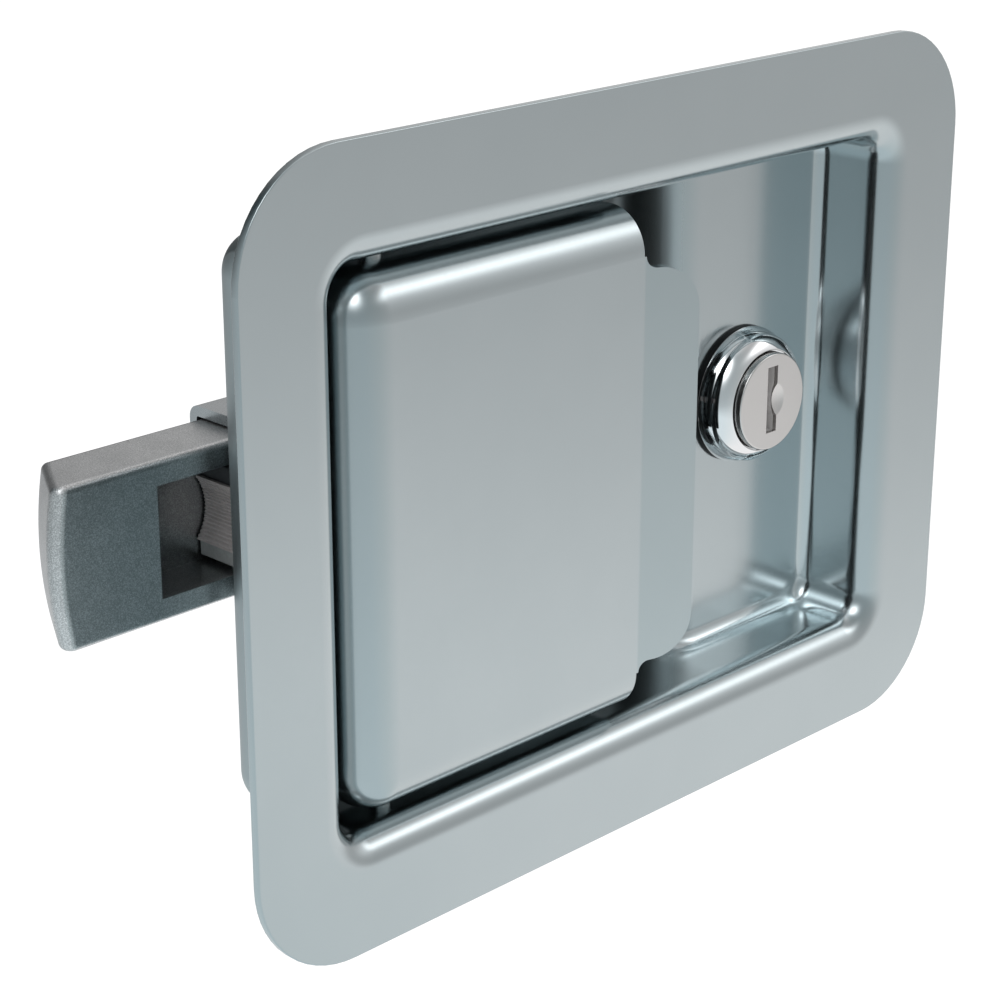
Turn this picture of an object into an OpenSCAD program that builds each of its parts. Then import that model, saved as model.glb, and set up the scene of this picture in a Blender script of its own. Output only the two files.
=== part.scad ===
// Flush push-to-close latch: a drawn pan with a pull paddle, a sprung slam bolt and a key lock.
// The origin is the middle of the flange's back face. X points to the lock, Y into the panel, Z up.
// Depths are counted from the flange's front face, which lies one sheet in front of the origin.

/* [Flange] */
// Width of the flange
flange_w = 115; // [108:0.5:140]
// Height of the flange
flange_h = 88.9; // [84:0.1:110]
// Corner radius of the flange
flange_corner = 13; // [8:0.5:20]
// Thickness of the pan's sheet
sheet = 1; // [0.8:0.1:1.2]

/* [Recess] */
// Width of the recess between its walls
recess_w = 89.6; // [86:0.2:95]
// Height of the recess between its walls
recess_h = 63.4; // [58:0.2:68]
// Radius of the recess's upright corners
recess_corner = 4.4; // [3.5:0.1:6]
// Bend radius of the rim, on the front
rim_bend = 3.2; // [2:0.1:4]
// Depth of the floor under the lock
lock_depth = 12; // [11:0.1:14]
// Depth of the floor under the paddle
paddle_depth = 18.7; // [17:0.1:22]
// Fillet between walls and floors
floor_fillet = 3.2; // [2:0.1:3.4]
// Radius of the lip between the two floors
step_lip = 3; // [2:0.1:4]

/* [Paddle] */
// Width of the paddle without its finger lip
paddle_w = 43; // [38:0.5:48]
// Gap between the paddle and the recess's top and bottom walls
paddle_gap = 1.5; // [1.2:0.1:2.5]
// Gap between the paddle and the recess's left wall
paddle_left_gap = 1.8; // [1.5:0.1:2.5]
// Thickness of the paddle's sheet
paddle_t = 1.2; // [0.8:0.1:1.6]
// Outer radius of the paddle's drawn edges
paddle_round = 5.2; // [4:0.1:7]
// Depth of the paddle's drawn edges
paddle_edge = 9.5; // [9:0.1:11]
// Length of the finger lip
lip_l = 7; // [5:0.1:9]
// Height of the finger lip
lip_h = 47.2; // [30:0.2:50]
// Corner radius of the finger lip
lip_corner = 5.2; // [3:0.1:8]
// Forward tilt of the finger lip, degrees
lip_tilt = 20; // [5:1:30]
// Swing of the paddle, degrees
paddle_swing = 36; // [20:1:36]

/* [Hinge] */
// Diameter of the hinge pin
pin_d = 2.5; // [2:0.1:3]
// Distance of the hinge pin from the left wall
pin_inset = 10.4; // [9:0.1:12]
// Depth of the hinge pin
pin_depth = 7; // [6:0.1:7.5]
// Thickness of the clips on the pin's ends
clip_t = 0.9; // [0.6:0.1:1.2]
// Diameter of the clips on the pin's ends
clip_d = 6; // [5:0.1:7]
// Length of the pin beyond each clip
pin_end = 0.6; // [0.3:0.1:1]
// Wire diameter of the paddle spring
paddle_wire = 1; // [0.8:0.1:1]
// Turns of the paddle spring
paddle_turns = 5; // [3:1:6]
// Gap between the hinge pin and the inside of the paddle spring
coil_gap = 1.2; // [1:0.1:1.4]
// Gap between the turns of the paddle spring
turn_gap = 0.15; // [0.1:0.05:0.3]
// Gap between the lever and the paddle spring
coil_side_gap = 0.7; // [0.5:0.1:1.5]

/* [Lever] */
// Thickness of the lever's arm
arm_t = 3; // [2.5:0.1:3.2]
// Width of the lever
lever_w = 7; // [5:0.1:8]
// Diameter of the lever's nose
nose_d = 4.4; // [4:0.1:5]
// Depth of the nose's middle in the drive block
nose_in = 3; // [2.8:0.1:3.2]
// Length of the lever's foot on the paddle
foot_l = 20; // [12:0.5:24]
// Thickness of the lever's foot
foot_t = 2.5; // [1.5:0.1:3]
// Diameter of the lever's boss round the pin
boss_d = 8; // [6:0.1:9]

/* [Bolt] */
// Height of the bolt
bolt_h = 18.1; // [16:0.1:20]
// Thickness of the bolt
bolt_t = 8.4; // [8:0.1:10]
// Reach of the bolt beyond the flange's edge
bolt_reach = 8.1; // [3:0.1:10]
// Set-back of the bolt's slanted end over its thickness
bolt_slant = 4.7; // [2:0.1:6]
// Crown of the bolt's end over its height
bolt_crown = 1; // [0.4:0.1:1.5]
// Edge radius of the bolt
bolt_edge = 0.5; // [0.3:0.1:1.5]
// Gap between the bolt and the pan's back
bolt_gap = 0.7; // [0.4:0.1:1.2]
// Travel of the bolt when the door is slammed
slam_travel = 9; // [6:0.1:10]
// Height of the pocket in the bolt
pocket_h = 12.7; // [12:0.1:13.5]
// Depth of the pocket in the bolt
pocket_depth = 6.4; // [6.2:0.1:7]
// Thickness of the bolt's tail behind the pocket
tail_t = 4; // [3:0.1:6]
// Room left in the pocket at the end of the slam travel
slam_spare = 0.5; // [0.3:0.1:1]

/* [Drive] */
// Length of the drive block ahead of the hinge pin
block_ahead = 8.8; // [7:0.1:10]
// Length of the drive block behind the hinge pin
block_behind = 6.4; // [6:0.1:8]
// Radius of the drive block's hollow nose
hollow_r = 6; // [4:0.1:8]
// Depth of the drive block's hollow nose
hollow_depth = 1.3; // [0.5:0.1:2]
// Play of the lever's nose in the drive block
nose_play = 0.4; // [0.35:0.05:0.6]
// Gap between the drive block and the pocket's top and bottom
block_gap = 0.65; // [0.3:0.05:1]
// Diameter of the drive rod
rod_d = 3.2; // [2.5:0.1:3.6]
// Depth of the drive rod's axis in the bolt
rod_in = 3.5; // [3:0.1:4]
// Length of the drive rod inside the drive block
rod_seat = 3; // [2:0.1:3.4]
// Gap between the drive rod and the inside of the bolt spring
spring_gap = 0.9; // [0.5:0.1:1.2]
// Length of the drive rod beyond the stop plate
rod_reach = 1.8; // [1:0.1:2]
// Wire diameter of the bolt spring
bolt_wire = 0.8; // [0.5:0.1:1]
// Turns of the bolt spring
bolt_turns = 11; // [8:1:13]
// Thickness of the spring's seat washer
seat_t = 0.8; // [0.5:0.1:1.2]

/* [Guide bracket] */
// Thickness of the guide bracket
bracket_t = 1.2; // [1:0.1:1.6]
// Length of the guide bracket
bracket_l = 49.7; // [46:0.1:52]
// Set-back of the guide bracket from the pan's left wall
bracket_inset = 5.3; // [4.4:0.1:6]
// Outer bend radius of the guide bracket
bracket_bend = 1.5; // [1.4:0.1:3]
// Reach of the guide bracket's feet
foot_reach = 7; // [6:0.1:9]
// Distance of the rivets from the bracket's ends
rivet_inset = 6; // [4:0.1:8]
// Diameter of the bracket's rivets
rivet_d = 3.2; // [2.4:0.1:4]
// Distance of the rivets from the long edges of the bracket's feet
rivet_edge = 3.15; // [2.5:0.05:3.5]

/* [Lock] */
// Distance of the lock's axis from the right wall
lock_inset = 14.3; // [13:0.1:16]
// Diameter of the lock's base flange
base_d = 17.5; // [17:0.1:20]
// Diameter of the lock's threaded body
lock_body_d = 16; // [15.6:0.1:16.2]
// Distance across the flats of the lock's body
lock_flats = 14; // [13.6:0.1:15]
// Diameter of the plug's face
plug_d = 12.4; // [12:0.1:12.6]
// Diameter of the plug's barrel
barrel_d = 10; // [9.6:0.1:10.6]
// Height of the lock's bezel above the floor
bezel_h = 5.8; // [5:0.1:7]
// Width of the bezel's rim round the plug
bezel_rim = 0.45; // [0.3:0.05:0.8]
// Radius of the bezel's dome
bezel_round = 1.25; // [0.8:0.05:1.6]
// Height of the lock's base flange
base_h = 2.7; // [2:0.1:3]
// Edge radius of the lock's base flange
base_round = 0.8; // [0.4:0.1:1.2]
// Height of the keyway
keyway_h = 8.6; // [7:0.1:9]
// Width of the keyway
keyway_w = 1.8; // [1.2:0.1:2]
// Diameter of the ward in the keyway
ward_d = 4.2; // [3:0.1:5]
// Reach of the ward into the keyway
ward_in = 0.95; // [0.5:0.05:1]
// Chamfer of the plug's face
plug_edge = 0.3; // [0.1:0.05:0.4]
// Length of the lock's body behind the floor
lock_body_l = 9.5; // [9:0.1:11]
// Distance across the flats of the lock nut
nut_af = 20; // [19:0.5:21]
// Thickness of the lock nut
nut_t = 4; // [3:0.1:5]
// Gap between the lock nut and the step of the pan
nut_gap = 1.5; // [1:0.1:2]
// Thickness of the lock washer
lock_washer_t = 0.8; // [0.5:0.1:1.2]
// Width of the lock washer's ring
lock_washer_wall = 1.25; // [1:0.05:1.4]
// Reach of the cam from the lock's axis
cam_reach = 9.3; // [7:0.1:9.3]
// Thickness of the cam
cam_t = 2; // [1.5:0.1:2.5]
// Width of the cam's arm
cam_arm_w = 8; // [6:0.1:9]
// Width of metal round the cam's square hole
cam_wall = 3; // [2:0.1:4]
// Gap between the cam and the lock's body
cam_gap = 0.3; // [0.2:0.05:0.6]
// Thickness of the washer under the cam screw
cam_washer_t = 0.6; // [0.4:0.1:1]
// Diameter of the cam screw
screw_d = 3; // [2.5:0.1:3.5]
// Length of the cam screw under its head
screw_l = 5; // [4:0.1:6]
// Thickness of the cam screw's head
screw_head_t = 2; // [1.5:0.1:2.5]
// Width of the plug's square tail
tail_w = 6; // [5:0.1:6.4]
// Height of the plug's face above the bezel
plug_stand = 0.4; // [0.2:0.1:0.8]
// Thickness of the plug's head
head_t = 2.1; // [1.8:0.1:2.6]

/* [Wafers] */
// Number of wafers
wafers = 5; // [3:1:5]
// Thickness of a wafer
wafer_t = 0.9; // [0.6:0.1:1]
// Distance from wafer to wafer
wafer_pitch = 1.9; // [1.6:0.1:2]
// Width of a wafer
wafer_w = 6.4; // [6:0.1:7]
// Distance of the first wafer from the plug's head
wafer_start = 1.4; // [1:0.1:1.8]
// Width of the spring's channel beside a wafer
spring_channel = 1.3; // [1.2:0.1:1.5]
// Thickness of the wafer's ledge over its spring
wafer_ledge = 1.2; // [0.8:0.1:1.5]

/* [Mounting] */
// Diameter of the studs
stud_d = 4; // [3:0.5:6]
// Length of the studs from the flange
stud_l = 10; // [8:0.5:25]
// Distance of the studs' row from each end of the flange
stud_inset = 22.5; // [15:0.5:30]
// Distance of the studs' axes from the end of the rim's bend
stud_gap = 4.5; // [3:0.1:5]
// Chamfer at the studs' ends
stud_chamfer = 0.8; // [0.4:0.1:1.2]

/* [Hidden] */
// Running clearance of turning and sliding shafts
run = 0.05;
// Clearance of sliding flat faces
slide = 0.2;
// Clearance of pieces that are fixed to each other
seat = 0.02;
// Reach of cuts beyond the faces they open
eps = 0.5;
// Overlap of the pieces that are joined into one solid
lap = 0.4;
// Clearance of the lever in the pan's slot
slot_gap = 0.8;

front_y = -sheet;
lock_floor_y = lock_depth - sheet;
paddle_floor_y = paddle_depth - sheet;
lock_back_y = lock_floor_y + sheet;
pan_back_y = paddle_floor_y + sheet;

wall_x = recess_w / 2;
wall_z = recess_h / 2;
lock_x = wall_x - lock_inset;
step_x = lock_x - nut_af / 2 - nut_gap - sheet;

paddle_left = -wall_x + paddle_left_gap;
paddle_right = paddle_left + paddle_w;
paddle_z = wall_z - paddle_gap;
paddle_back_y = front_y + paddle_t;

pin_x = -wall_x + pin_inset;
pin_y = pin_depth - sheet;
pin_top = wall_z + sheet + clip_t + pin_end;

bolt_y = pan_back_y + bolt_gap;
bolt_back_y = bolt_y + bolt_t;
bolt_left = -flange_w / 2 - bolt_reach;
nose_y = bolt_y + nose_in;
lever_arm = nose_y - pin_y;
drive_travel = lever_arm * sin(paddle_swing);
block_left = pin_x - block_ahead;
block_right = pin_x + block_behind;
block_h = pocket_h - 2 * block_gap;
block_back_y = bolt_y + pocket_depth - slide;
pocket_left = block_left - slam_travel - slam_spare;
pocket_right = block_right + run;
bolt_tail = pocket_right + tail_t;
rod_y = bolt_y + rod_in;

bracket_left = -wall_x - sheet + bracket_inset;
bracket_right = bracket_left + bracket_l;
bracket_z = bolt_h / 2 + slide;
bracket_back_y = bolt_back_y + slide;
stop_x = bracket_right - bracket_t;
seat_x = stop_x - seat_t;
spring_mean_r = rod_d / 2 + spring_gap + bolt_wire / 2;

bezel_y = lock_floor_y - bezel_h;
plug_face_y = bezel_y - plug_stand;
barrel_y = plug_face_y + head_t;
housing_end_y = lock_back_y + lock_body_l - sheet;
cam_y = housing_end_y + cam_gap;
wafer_y = barrel_y + wafer_start;

stud_x = flange_w / 2 - stud_inset;
stud_z = wall_z + rim_bend + stud_gap;

// Turns a shape drawn upright so that its height runs along Y, into the panel.
module into_panel(x, y, z = 0) {
    translate([x, y, z]) rotate([-90, 0, 0]) children();
}

// Turns a shape drawn upright so that its height runs along X.
module along_x(x, y, z = 0) {
    translate([x, y, z]) rotate([0, 90, 0]) children();
}

// Rectangle with true round corners.
module rounded_rect(w, h, r) {
    square([w - 2 * r, h], center = true);
    square([w, h - 2 * r], center = true);
    for (sx = [-1, 1], sy = [-1, 1])
        translate([sx * (w / 2 - r), sy * (h / 2 - r)]) circle(r, $fn = 48);
}

// Corner piece between two faces and the round that joins them, reaching a little behind both faces.
module fillet_2d(r) {
    difference() {
        translate([-lap, -lap]) square(r + lap);
        translate([r, r]) circle(r, $fn = 48);
    }
}

// Carries a section round the recess: its X points away from the wall's line, its Y along the depth.
module round_recess(grow) {
    r = recess_corner + grow;
    half_x = wall_x + grow;
    half_z = wall_z + grow;
    for (s = [0, 180]) {
        rotate([0, s, 0])
            translate([half_x, 0, -half_z + r])
                linear_extrude(2 * (half_z - r)) children();
        rotate([0, 90 + s, 0])
            translate([half_z, 0, -half_x + r])
                linear_extrude(2 * (half_x - r)) children();
    }
    for (sx = [0, 1], sz = [0, 1])
        mirror([sx, 0, 0]) mirror([0, 0, sz])
            translate([half_x - r, 0, half_z - r])
                rotate([-90, 0, 0])
                    mirror([0, 1, 0])
                        rotate_extrude(angle = 90, $fn = 48)
                            translate([r, 0]) children();
}

// Quarter disc that rounds a floor's edge, reaching a little into the cup it belongs to.
module quarter_2d(r) {
    intersection() {
        circle(r, $fn = 48);
        square(r);
    }
    translate([-lap, -lap]) square([r + lap, lap]);
    translate([-lap, -lap]) square([lap, r + lap]);
}

// Cup with upright round corners and a filleted floor, from the depth y0 down to the depth y1.
module cup(x0, x1, half_z, r, fillet, y0, y1) {
    half_x = (x1 - x0) / 2;
    edge_y = y1 - fillet;
    translate([(x0 + x1) / 2, 0, 0]) {
        into_panel(0, y0) linear_extrude(edge_y - y0) rounded_rect(2 * half_x, 2 * half_z, r);
        into_panel(0, y0) linear_extrude(y1 - y0)
            rounded_rect(2 * (half_x - fillet), 2 * (half_z - fillet), r - fillet);
        for (s = [0, 180]) rotate([0, s, 0]) {
            translate([half_x - fillet, edge_y, -half_z + r])
                linear_extrude(2 * (half_z - r)) quarter_2d(fillet);
            rotate([0, 90, 0]) translate([half_z - fillet, edge_y, -half_x + r])
                linear_extrude(2 * (half_x - r)) quarter_2d(fillet);
        }
        for (sx = [-1, 1], sz = [-1, 1])
            into_panel(sx * (half_x - r), edge_y, sz * (half_z - r))
                rotate_extrude($fn = 48) {
                    translate([0, -lap]) square([r - fillet, fillet + lap]);
                    translate([r - fillet, 0]) intersection() {
                        quarter_2d(fillet);
                        translate([-(r - fillet), -lap]) square([r, fillet + lap]);
                    }
                }
    }
}

// Both cups of the pan, grown by the sheet for the outside; they start at the depth y0.
module pan_cups(grow, y0) {
    r = recess_corner + grow;
    fillet = floor_fillet + grow;
    cup(-wall_x - grow, wall_x + grow, wall_z + grow, r, fillet, y0, lock_floor_y + grow);
    cup(-wall_x - grow, step_x + grow, wall_z + grow, r, fillet, y0, paddle_floor_y + grow);
}

// Double-D opening that keeps the lock from turning.
module lock_outline(gap) {
    intersection() {
        circle(lock_body_d / 2 + gap, $fn = 64);
        square([lock_flats + 2 * gap, lock_body_d + 2], center = true);
    }
}

module pan() {
    step_z = wall_z - recess_corner;
    slot_x0 = pin_x - arm_t / 2 - slot_gap;
    slot_x1 = pin_x + drive_travel + nose_d / 2 + slot_gap;
    slot_z = lever_w / 2 + slot_gap;
    color("lightsteelblue") difference() {
        union() {
            into_panel(0, front_y) linear_extrude(sheet) rounded_rect(flange_w, flange_h, flange_corner);
            pan_cups(sheet, front_y);
            round_recess(sheet) fillet_2d(rim_bend - sheet);
            translate([step_x + sheet, lock_back_y, -step_z])
                linear_extrude(2 * step_z) fillet_2d(step_lip - sheet);
        }
        pan_cups(0, front_y - eps);
        translate([0, front_y, 0]) round_recess(0) fillet_2d(rim_bend);
        translate([step_x, lock_floor_y, -step_z]) linear_extrude(2 * step_z) fillet_2d(step_lip);
        into_panel(lock_x, lock_floor_y - eps) linear_extrude(sheet + 2 * eps) lock_outline(slide / 2);
        translate([slot_x0, paddle_floor_y - eps, -slot_z])
            cube([slot_x1 - slot_x0, sheet + 2 * eps, 2 * slot_z]);
        translate([pin_x, pin_y, -wall_z - sheet - eps])
            cylinder(h = recess_h + 2 * sheet + 2 * eps, r = pin_d / 2 + seat, $fn = 32);
        rivet_places()
            into_panel(0, paddle_floor_y - eps)
                cylinder(h = sheet + 2 * eps, r = rivet_d / 2 + seat, $fn = 32);
    }
}

// Repeats a piece at each of the rivets in the bracket's feet.
module rivet_places() {
    for (x = [bracket_left + rivet_inset, bracket_right - rivet_inset], s = [-1, 1])
        translate([x, 0, s * (bracket_z + bracket_t + foot_reach - rivet_edge)]) children();
}

module mounting_studs() {
    color("silver")
        for (sx = [-1, 1], sz = [-1, 1])
            into_panel(sx * stud_x, 0, sz * stud_z) {
                cylinder(h = stud_l - stud_chamfer, r = stud_d / 2, $fn = 48);
                translate([0, 0, stud_l - stud_chamfer])
                    cylinder(h = stud_chamfer, r1 = stud_d / 2, r2 = stud_d / 2 - stud_chamfer, $fn = 48);
            }
}

// Drawn form of the paddle, shrunk by inset on its three edges and its face, open to the right and the back.
module paddle_form(inset, x1, y1) {
    r = paddle_round - inset;
    x0 = paddle_left + paddle_round;
    cy = front_y + paddle_round;
    cz = paddle_z - paddle_round;
    translate([x0, front_y + inset, -cz]) cube([x1 - x0, y1 - front_y - inset, 2 * cz]);
    translate([x0 - r, cy, -cz]) cube([x1 - x0 + r, y1 - cy, 2 * cz]);
    translate([x0, cy, -cz - r]) cube([x1 - x0, y1 - cy, 2 * (cz + r)]);
    translate([x0, cy, -cz]) cylinder(h = 2 * cz, r = r, $fn = 64);
    for (s = [-1, 1])
        translate([x0, cy, s * cz]) {
            sphere(r, $fn = 64);
            along_x(0, 0) cylinder(h = x1 - x0, r = r, $fn = 64);
            into_panel(0, 0) cylinder(h = y1 - cy, r = r, $fn = 64);
        }
}

// Outline of the finger lip, with round corners at its free end and a root that reaches into the paddle.
module lip_outline(root) {
    r = min(lip_corner, lip_l);
    translate([-root, -lip_h / 2]) square([lip_l - r + root, lip_h]);
    translate([lip_l - r, -lip_h / 2 + r]) square([r, lip_h - 2 * r]);
    for (s = [-1, 1]) translate([lip_l - r, s * (lip_h / 2 - r)]) circle(r, $fn = 64);
}

module finger_lip() {
    translate([paddle_right, front_y, 0])
        rotate([0, 0, -lip_tilt])
            into_panel(0, 0) linear_extrude(paddle_t) lip_outline(paddle_t);
}

module paddle() {
    edge_y = front_y + paddle_edge;
    color("lightsteelblue") difference() {
        union() {
            paddle_form(0, paddle_right, edge_y);
            finger_lip();
        }
        paddle_form(paddle_t, paddle_right + eps, edge_y + eps);
        translate([paddle_left - eps, edge_y, -paddle_z - eps])
            cube([paddle_w + 2 * eps, paddle_round, 2 * paddle_z + 2 * eps]);
        translate([pin_x, pin_y, -paddle_z - eps])
            cylinder(h = 2 * paddle_z + 2 * eps, r = pin_d / 2 + run, $fn = 32);
    }
}

module paddle_lever() {
    color("gray")
        translate([0, 0, -lever_w / 2])
            linear_extrude(lever_w)
                difference() {
                    union() {
                        translate([pin_x - arm_t / 2, paddle_back_y]) square([foot_l, foot_t]);
                        translate([pin_x - arm_t / 2, paddle_back_y]) square([arm_t, nose_y - paddle_back_y]);
                        translate([pin_x, pin_y]) circle(boss_d / 2, $fn = 48);
                        translate([pin_x, nose_y]) circle(nose_d / 2, $fn = 48);
                        polygon([
                            [pin_x, paddle_back_y + foot_t],
                            [pin_x + foot_l / 2, paddle_back_y + foot_t],
                            [pin_x, pin_y + boss_d / 2]
                        ]);
                    }
                    translate([pin_x, pin_y]) circle(pin_d / 2 + run, $fn = 48);
                }
}

module hinge_pin() {
    color("gainsboro")
        translate([pin_x, pin_y, -pin_top]) cylinder(h = 2 * pin_top, r = pin_d / 2, $fn = 48);
}

module pin_clips() {
    color("dimgray")
        for (s = [-1, 1])
            translate([pin_x, pin_y, s * (wall_z + sheet + clip_t / 2)])
                difference() {
                    cylinder(h = clip_t, r = clip_d / 2, center = true, $fn = 48);
                    cylinder(h = clip_t + 2 * eps, r = pin_d / 2 + seat, center = true, $fn = 48);
                }
}

// Centre line of a coil: the turn angle grows evenly with the height.
function coil_point(r, a, z) = [r * cos(a), r * sin(a), z];

// One ring of points round a wire whose centre is at angle a, with the wire's section standing across it.
function coil_ring(r, a, z, wire_r, sides) = [
    for (k = [0:sides - 1])
        let (t = 360 * k / sides)
            coil_point(r + wire_r * cos(t), a, z + wire_r * sin(t))
];

// Moves a ring of points.
function moved(ring, by) = [for (p = ring) p + by];

// Closed tube along a coil from angle a0 to a1, rising by pitch each turn, with a straight leg at each end.
module coil(r, wire_r, a0, a1, pitch, leg0 = 0.05, leg1 = 0.05, sides = 8, per_turn = 16) {
    turns = ceil((a1 - a0) / 360 * per_turn);
    rings = turns + 2;
    z1 = pitch * (a1 - a0) / 360;
    points = concat(
        moved(coil_ring(r, a0, 0, wire_r, sides), leg0 * [sin(a0), -cos(a0), 0]),
        [
            for (i = [0:turns])
                let (a = a0 + (a1 - a0) * i / turns)
                    each coil_ring(r, a, z1 * i / turns, wire_r, sides)
        ],
        moved(coil_ring(r, a1, z1, wire_r, sides), leg1 * [-sin(a1), cos(a1), 0])
    );
    sides_faces = [
        for (i = [0:rings - 1], k = [0:sides - 1])
            let (n = (k + 1) % sides, b = i * sides, t = b + sides)
                each [[b + k, b + n, t + n], [b + k, t + n, t + k]]
    ];
    caps = [
        [for (k = [sides - 1:-1:0]) k],
        [for (k = [0:sides - 1]) rings * sides + k]
    ];
    polyhedron(points, concat(sides_faces, caps));
}

module paddle_spring() {
    wire_r = paddle_wire / 2;
    mean_r = pin_d / 2 + coil_gap + wire_r;
    pitch = paddle_wire + turn_gap;
    a0 = -53;
    a1 = 360 * paddle_turns - 17.5;
    reach = wire_r + slide;
    paddle_leg = (pin_y + mean_r * sin(a0) - paddle_back_y - reach) / cos(a0);
    floor_leg = (paddle_floor_y - reach - pin_y - mean_r * sin(a1)) / cos(a1);
    color("darkgray") translate([pin_x, pin_y, lever_w / 2 + coil_side_gap + wire_r])
        coil(mean_r, wire_r, a0, a1, pitch, paddle_leg, floor_leg);
}

module guide_bracket() {
    w = 2 * (bracket_z + bracket_t);
    foot_z = w / 2 + foot_reach;
    d = bracket_back_y + bracket_t - pan_back_y;
    mid_y = pan_back_y + d / 2;
    color("slategray") difference() {
        union() {
            translate([bracket_left, 0, 0]) rotate([90, 0, 90])
                linear_extrude(bracket_l) difference() {
                    union() {
                        translate([mid_y, 0]) rounded_rect(d, w, bracket_bend);
                        translate([pan_back_y, -w / 2]) square([bracket_bend, w]);
                        translate([pan_back_y, -foot_z]) square([bracket_t, 2 * foot_z]);
                    }
                    translate([mid_y - bracket_t, 0])
                        rounded_rect(d, 2 * bracket_z, bracket_bend - bracket_t);
                    translate([pan_back_y - eps, -bracket_z]) square([bracket_bend, 2 * bracket_z]);
                }
            translate([stop_x, pan_back_y, -bracket_z - bracket_t / 2])
                cube([bracket_t, d - bracket_t / 2, 2 * bracket_z + bracket_t]);
        }
        along_x(stop_x - eps, rod_y) cylinder(h = bracket_t + 2 * eps, r = rod_d / 2 + 2 * run, $fn = 48);
        rivet_places()
            into_panel(0, pan_back_y - eps)
                cylinder(h = bracket_t + 2 * eps, r = rivet_d / 2 + seat, $fn = 32);
    }
}

module bracket_rivets() {
    head_r = rivet_d * 0.84;
    head_top_r = rivet_d * 0.65;
    head_h = rivet_d * 0.28;
    grip = sheet + bracket_t;
    color("silver")
        rivet_places() translate([0, paddle_floor_y, 0]) {
            into_panel(0, 0) cylinder(h = grip, r = rivet_d / 2, $fn = 48);
            into_panel(0, -head_h) cylinder(h = head_h, r1 = head_top_r, r2 = head_r, $fn = 48);
            into_panel(0, grip) cylinder(h = head_h, r1 = head_r, r2 = head_top_r, $fn = 48);
        }
}

module bolt() {
    slant = atan(bolt_slant / bolt_t);
    crown_r = (pow(bolt_h / 2, 2) + pow(bolt_crown, 2)) / (2 * bolt_crown);
    mid_y = bolt_y + bolt_t / 2;
    far = bolt_left - bolt_crown;
    color("slategray") difference() {
        intersection() {
            translate([far, 0, 0]) rotate([90, 0, 90])
                linear_extrude(bolt_tail - far)
                    translate([mid_y, 0]) rounded_rect(bolt_t, bolt_h, bolt_edge);
            translate([far, bolt_y, 0]) rotate([0, 0, -slant])
                into_panel(crown_r, -bolt_t)
                    linear_extrude(4 * bolt_t) {
                        circle(crown_r, $fn = 128);
                        translate([0, -crown_r]) square([bolt_tail - far, 2 * crown_r]);
                    }
        }
        translate([pocket_left, bolt_y - eps, -pocket_h / 2])
            cube([pocket_right - pocket_left, pocket_depth + eps, pocket_h]);
        along_x(pocket_right - eps, rod_y) cylinder(h = tail_t + 2 * eps, r = rod_d / 2 + 2 * run, $fn = 48);
    }
}

module drive_block() {
    slot_r = nose_d / 2 + nose_play;
    slot_w = lever_w + 3 * slide;
    color("rosybrown") difference() {
        translate([block_left, bolt_y, -block_h / 2])
            cube([block_right - block_left, block_back_y - bolt_y, block_h]);
        into_panel(block_left + hollow_depth - hollow_r, bolt_y - eps)
            cylinder(h = pocket_depth + 2 * eps, r = hollow_r, $fn = 64);
        translate([pin_x - slot_r, bolt_y - eps, -slot_w / 2])
            cube([2 * slot_r, nose_y + slot_r - bolt_y + eps, slot_w]);
        along_x(block_right - rod_seat, rod_y) cylinder(h = rod_seat + eps, r = rod_d / 2 + seat, $fn = 48);
    }
}

module drive_rod() {
    chamfer = rod_d * 0.2;
    x0 = block_right - rod_seat;
    x1 = bracket_right + rod_reach - chamfer;
    color("silver") along_x(x0, rod_y) {
        cylinder(h = x1 - x0, r = rod_d / 2, $fn = 48);
        translate([0, 0, x1 - x0]) cylinder(h = chamfer, r1 = rod_d / 2, r2 = rod_d / 2 - chamfer, $fn = 48);
    }
}

module bolt_spring() {
    wire_r = bolt_wire / 2;
    x0 = bolt_tail + wire_r + run;
    x1 = seat_x - wire_r - run;
    color("darkgray") along_x(x0, rod_y)
        coil(spring_mean_r, wire_r, 0, 360 * bolt_turns, (x1 - x0) / bolt_turns);
}

module spring_washer() {
    color("silver") along_x(seat_x, rod_y) difference() {
        cylinder(h = seat_t, r = spring_mean_r + bolt_wire, $fn = 48);
        translate([0, 0, -eps]) cylinder(h = seat_t + 2 * eps, r = rod_d / 2 + 2 * run, $fn = 48);
    }
}

// Section of the lock's housing in front of the floor: X is the radius, Y the depth.
module housing_section() {
    bezel_r = plug_d / 2 + bezel_rim;
    dome_r = bezel_round;
    base_r = base_d / 2;
    base_y = lock_floor_y - base_h;
    head_r = plug_d / 2 + run;
    barrel_r = barrel_d / 2 + run;
    seat_y = barrel_y + run;
    difference() {
        union() {
            translate([barrel_r, bezel_y + dome_r]) square([bezel_r + dome_r - barrel_r, base_y - bezel_y]);
            translate([barrel_r, bezel_y]) square([bezel_r - barrel_r, dome_r + lap]);
            translate([bezel_r, bezel_y + dome_r]) circle(dome_r, $fn = 48);
            translate([barrel_r, base_y]) square([base_r - base_round - barrel_r, base_h]);
            translate([barrel_r, base_y + base_round]) square([base_r - barrel_r, base_h - base_round]);
            translate([base_r - base_round, base_y + base_round]) circle(base_round, $fn = 32);
        }
        translate([0, bezel_y - eps]) square([head_r, seat_y - bezel_y + eps]);
    }
}

module lock_housing() {
    color("gainsboro") {
        into_panel(lock_x, 0) rotate_extrude($fn = 96) housing_section();
        into_panel(lock_x, lock_floor_y - lap) linear_extrude(housing_end_y - lock_floor_y + lap)
            difference() {
                lock_outline(0);
                circle(barrel_d / 2 + run, $fn = 96);
            }
    }
}

// Slot through the barrel for one wafer.
module wafer_slot(gap) {
    translate([-wafer_w / 2 - gap, -gap, -barrel_d])
        cube([wafer_w + 2 * gap, wafer_t + 2 * gap, 2 * barrel_d]);
}

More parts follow.
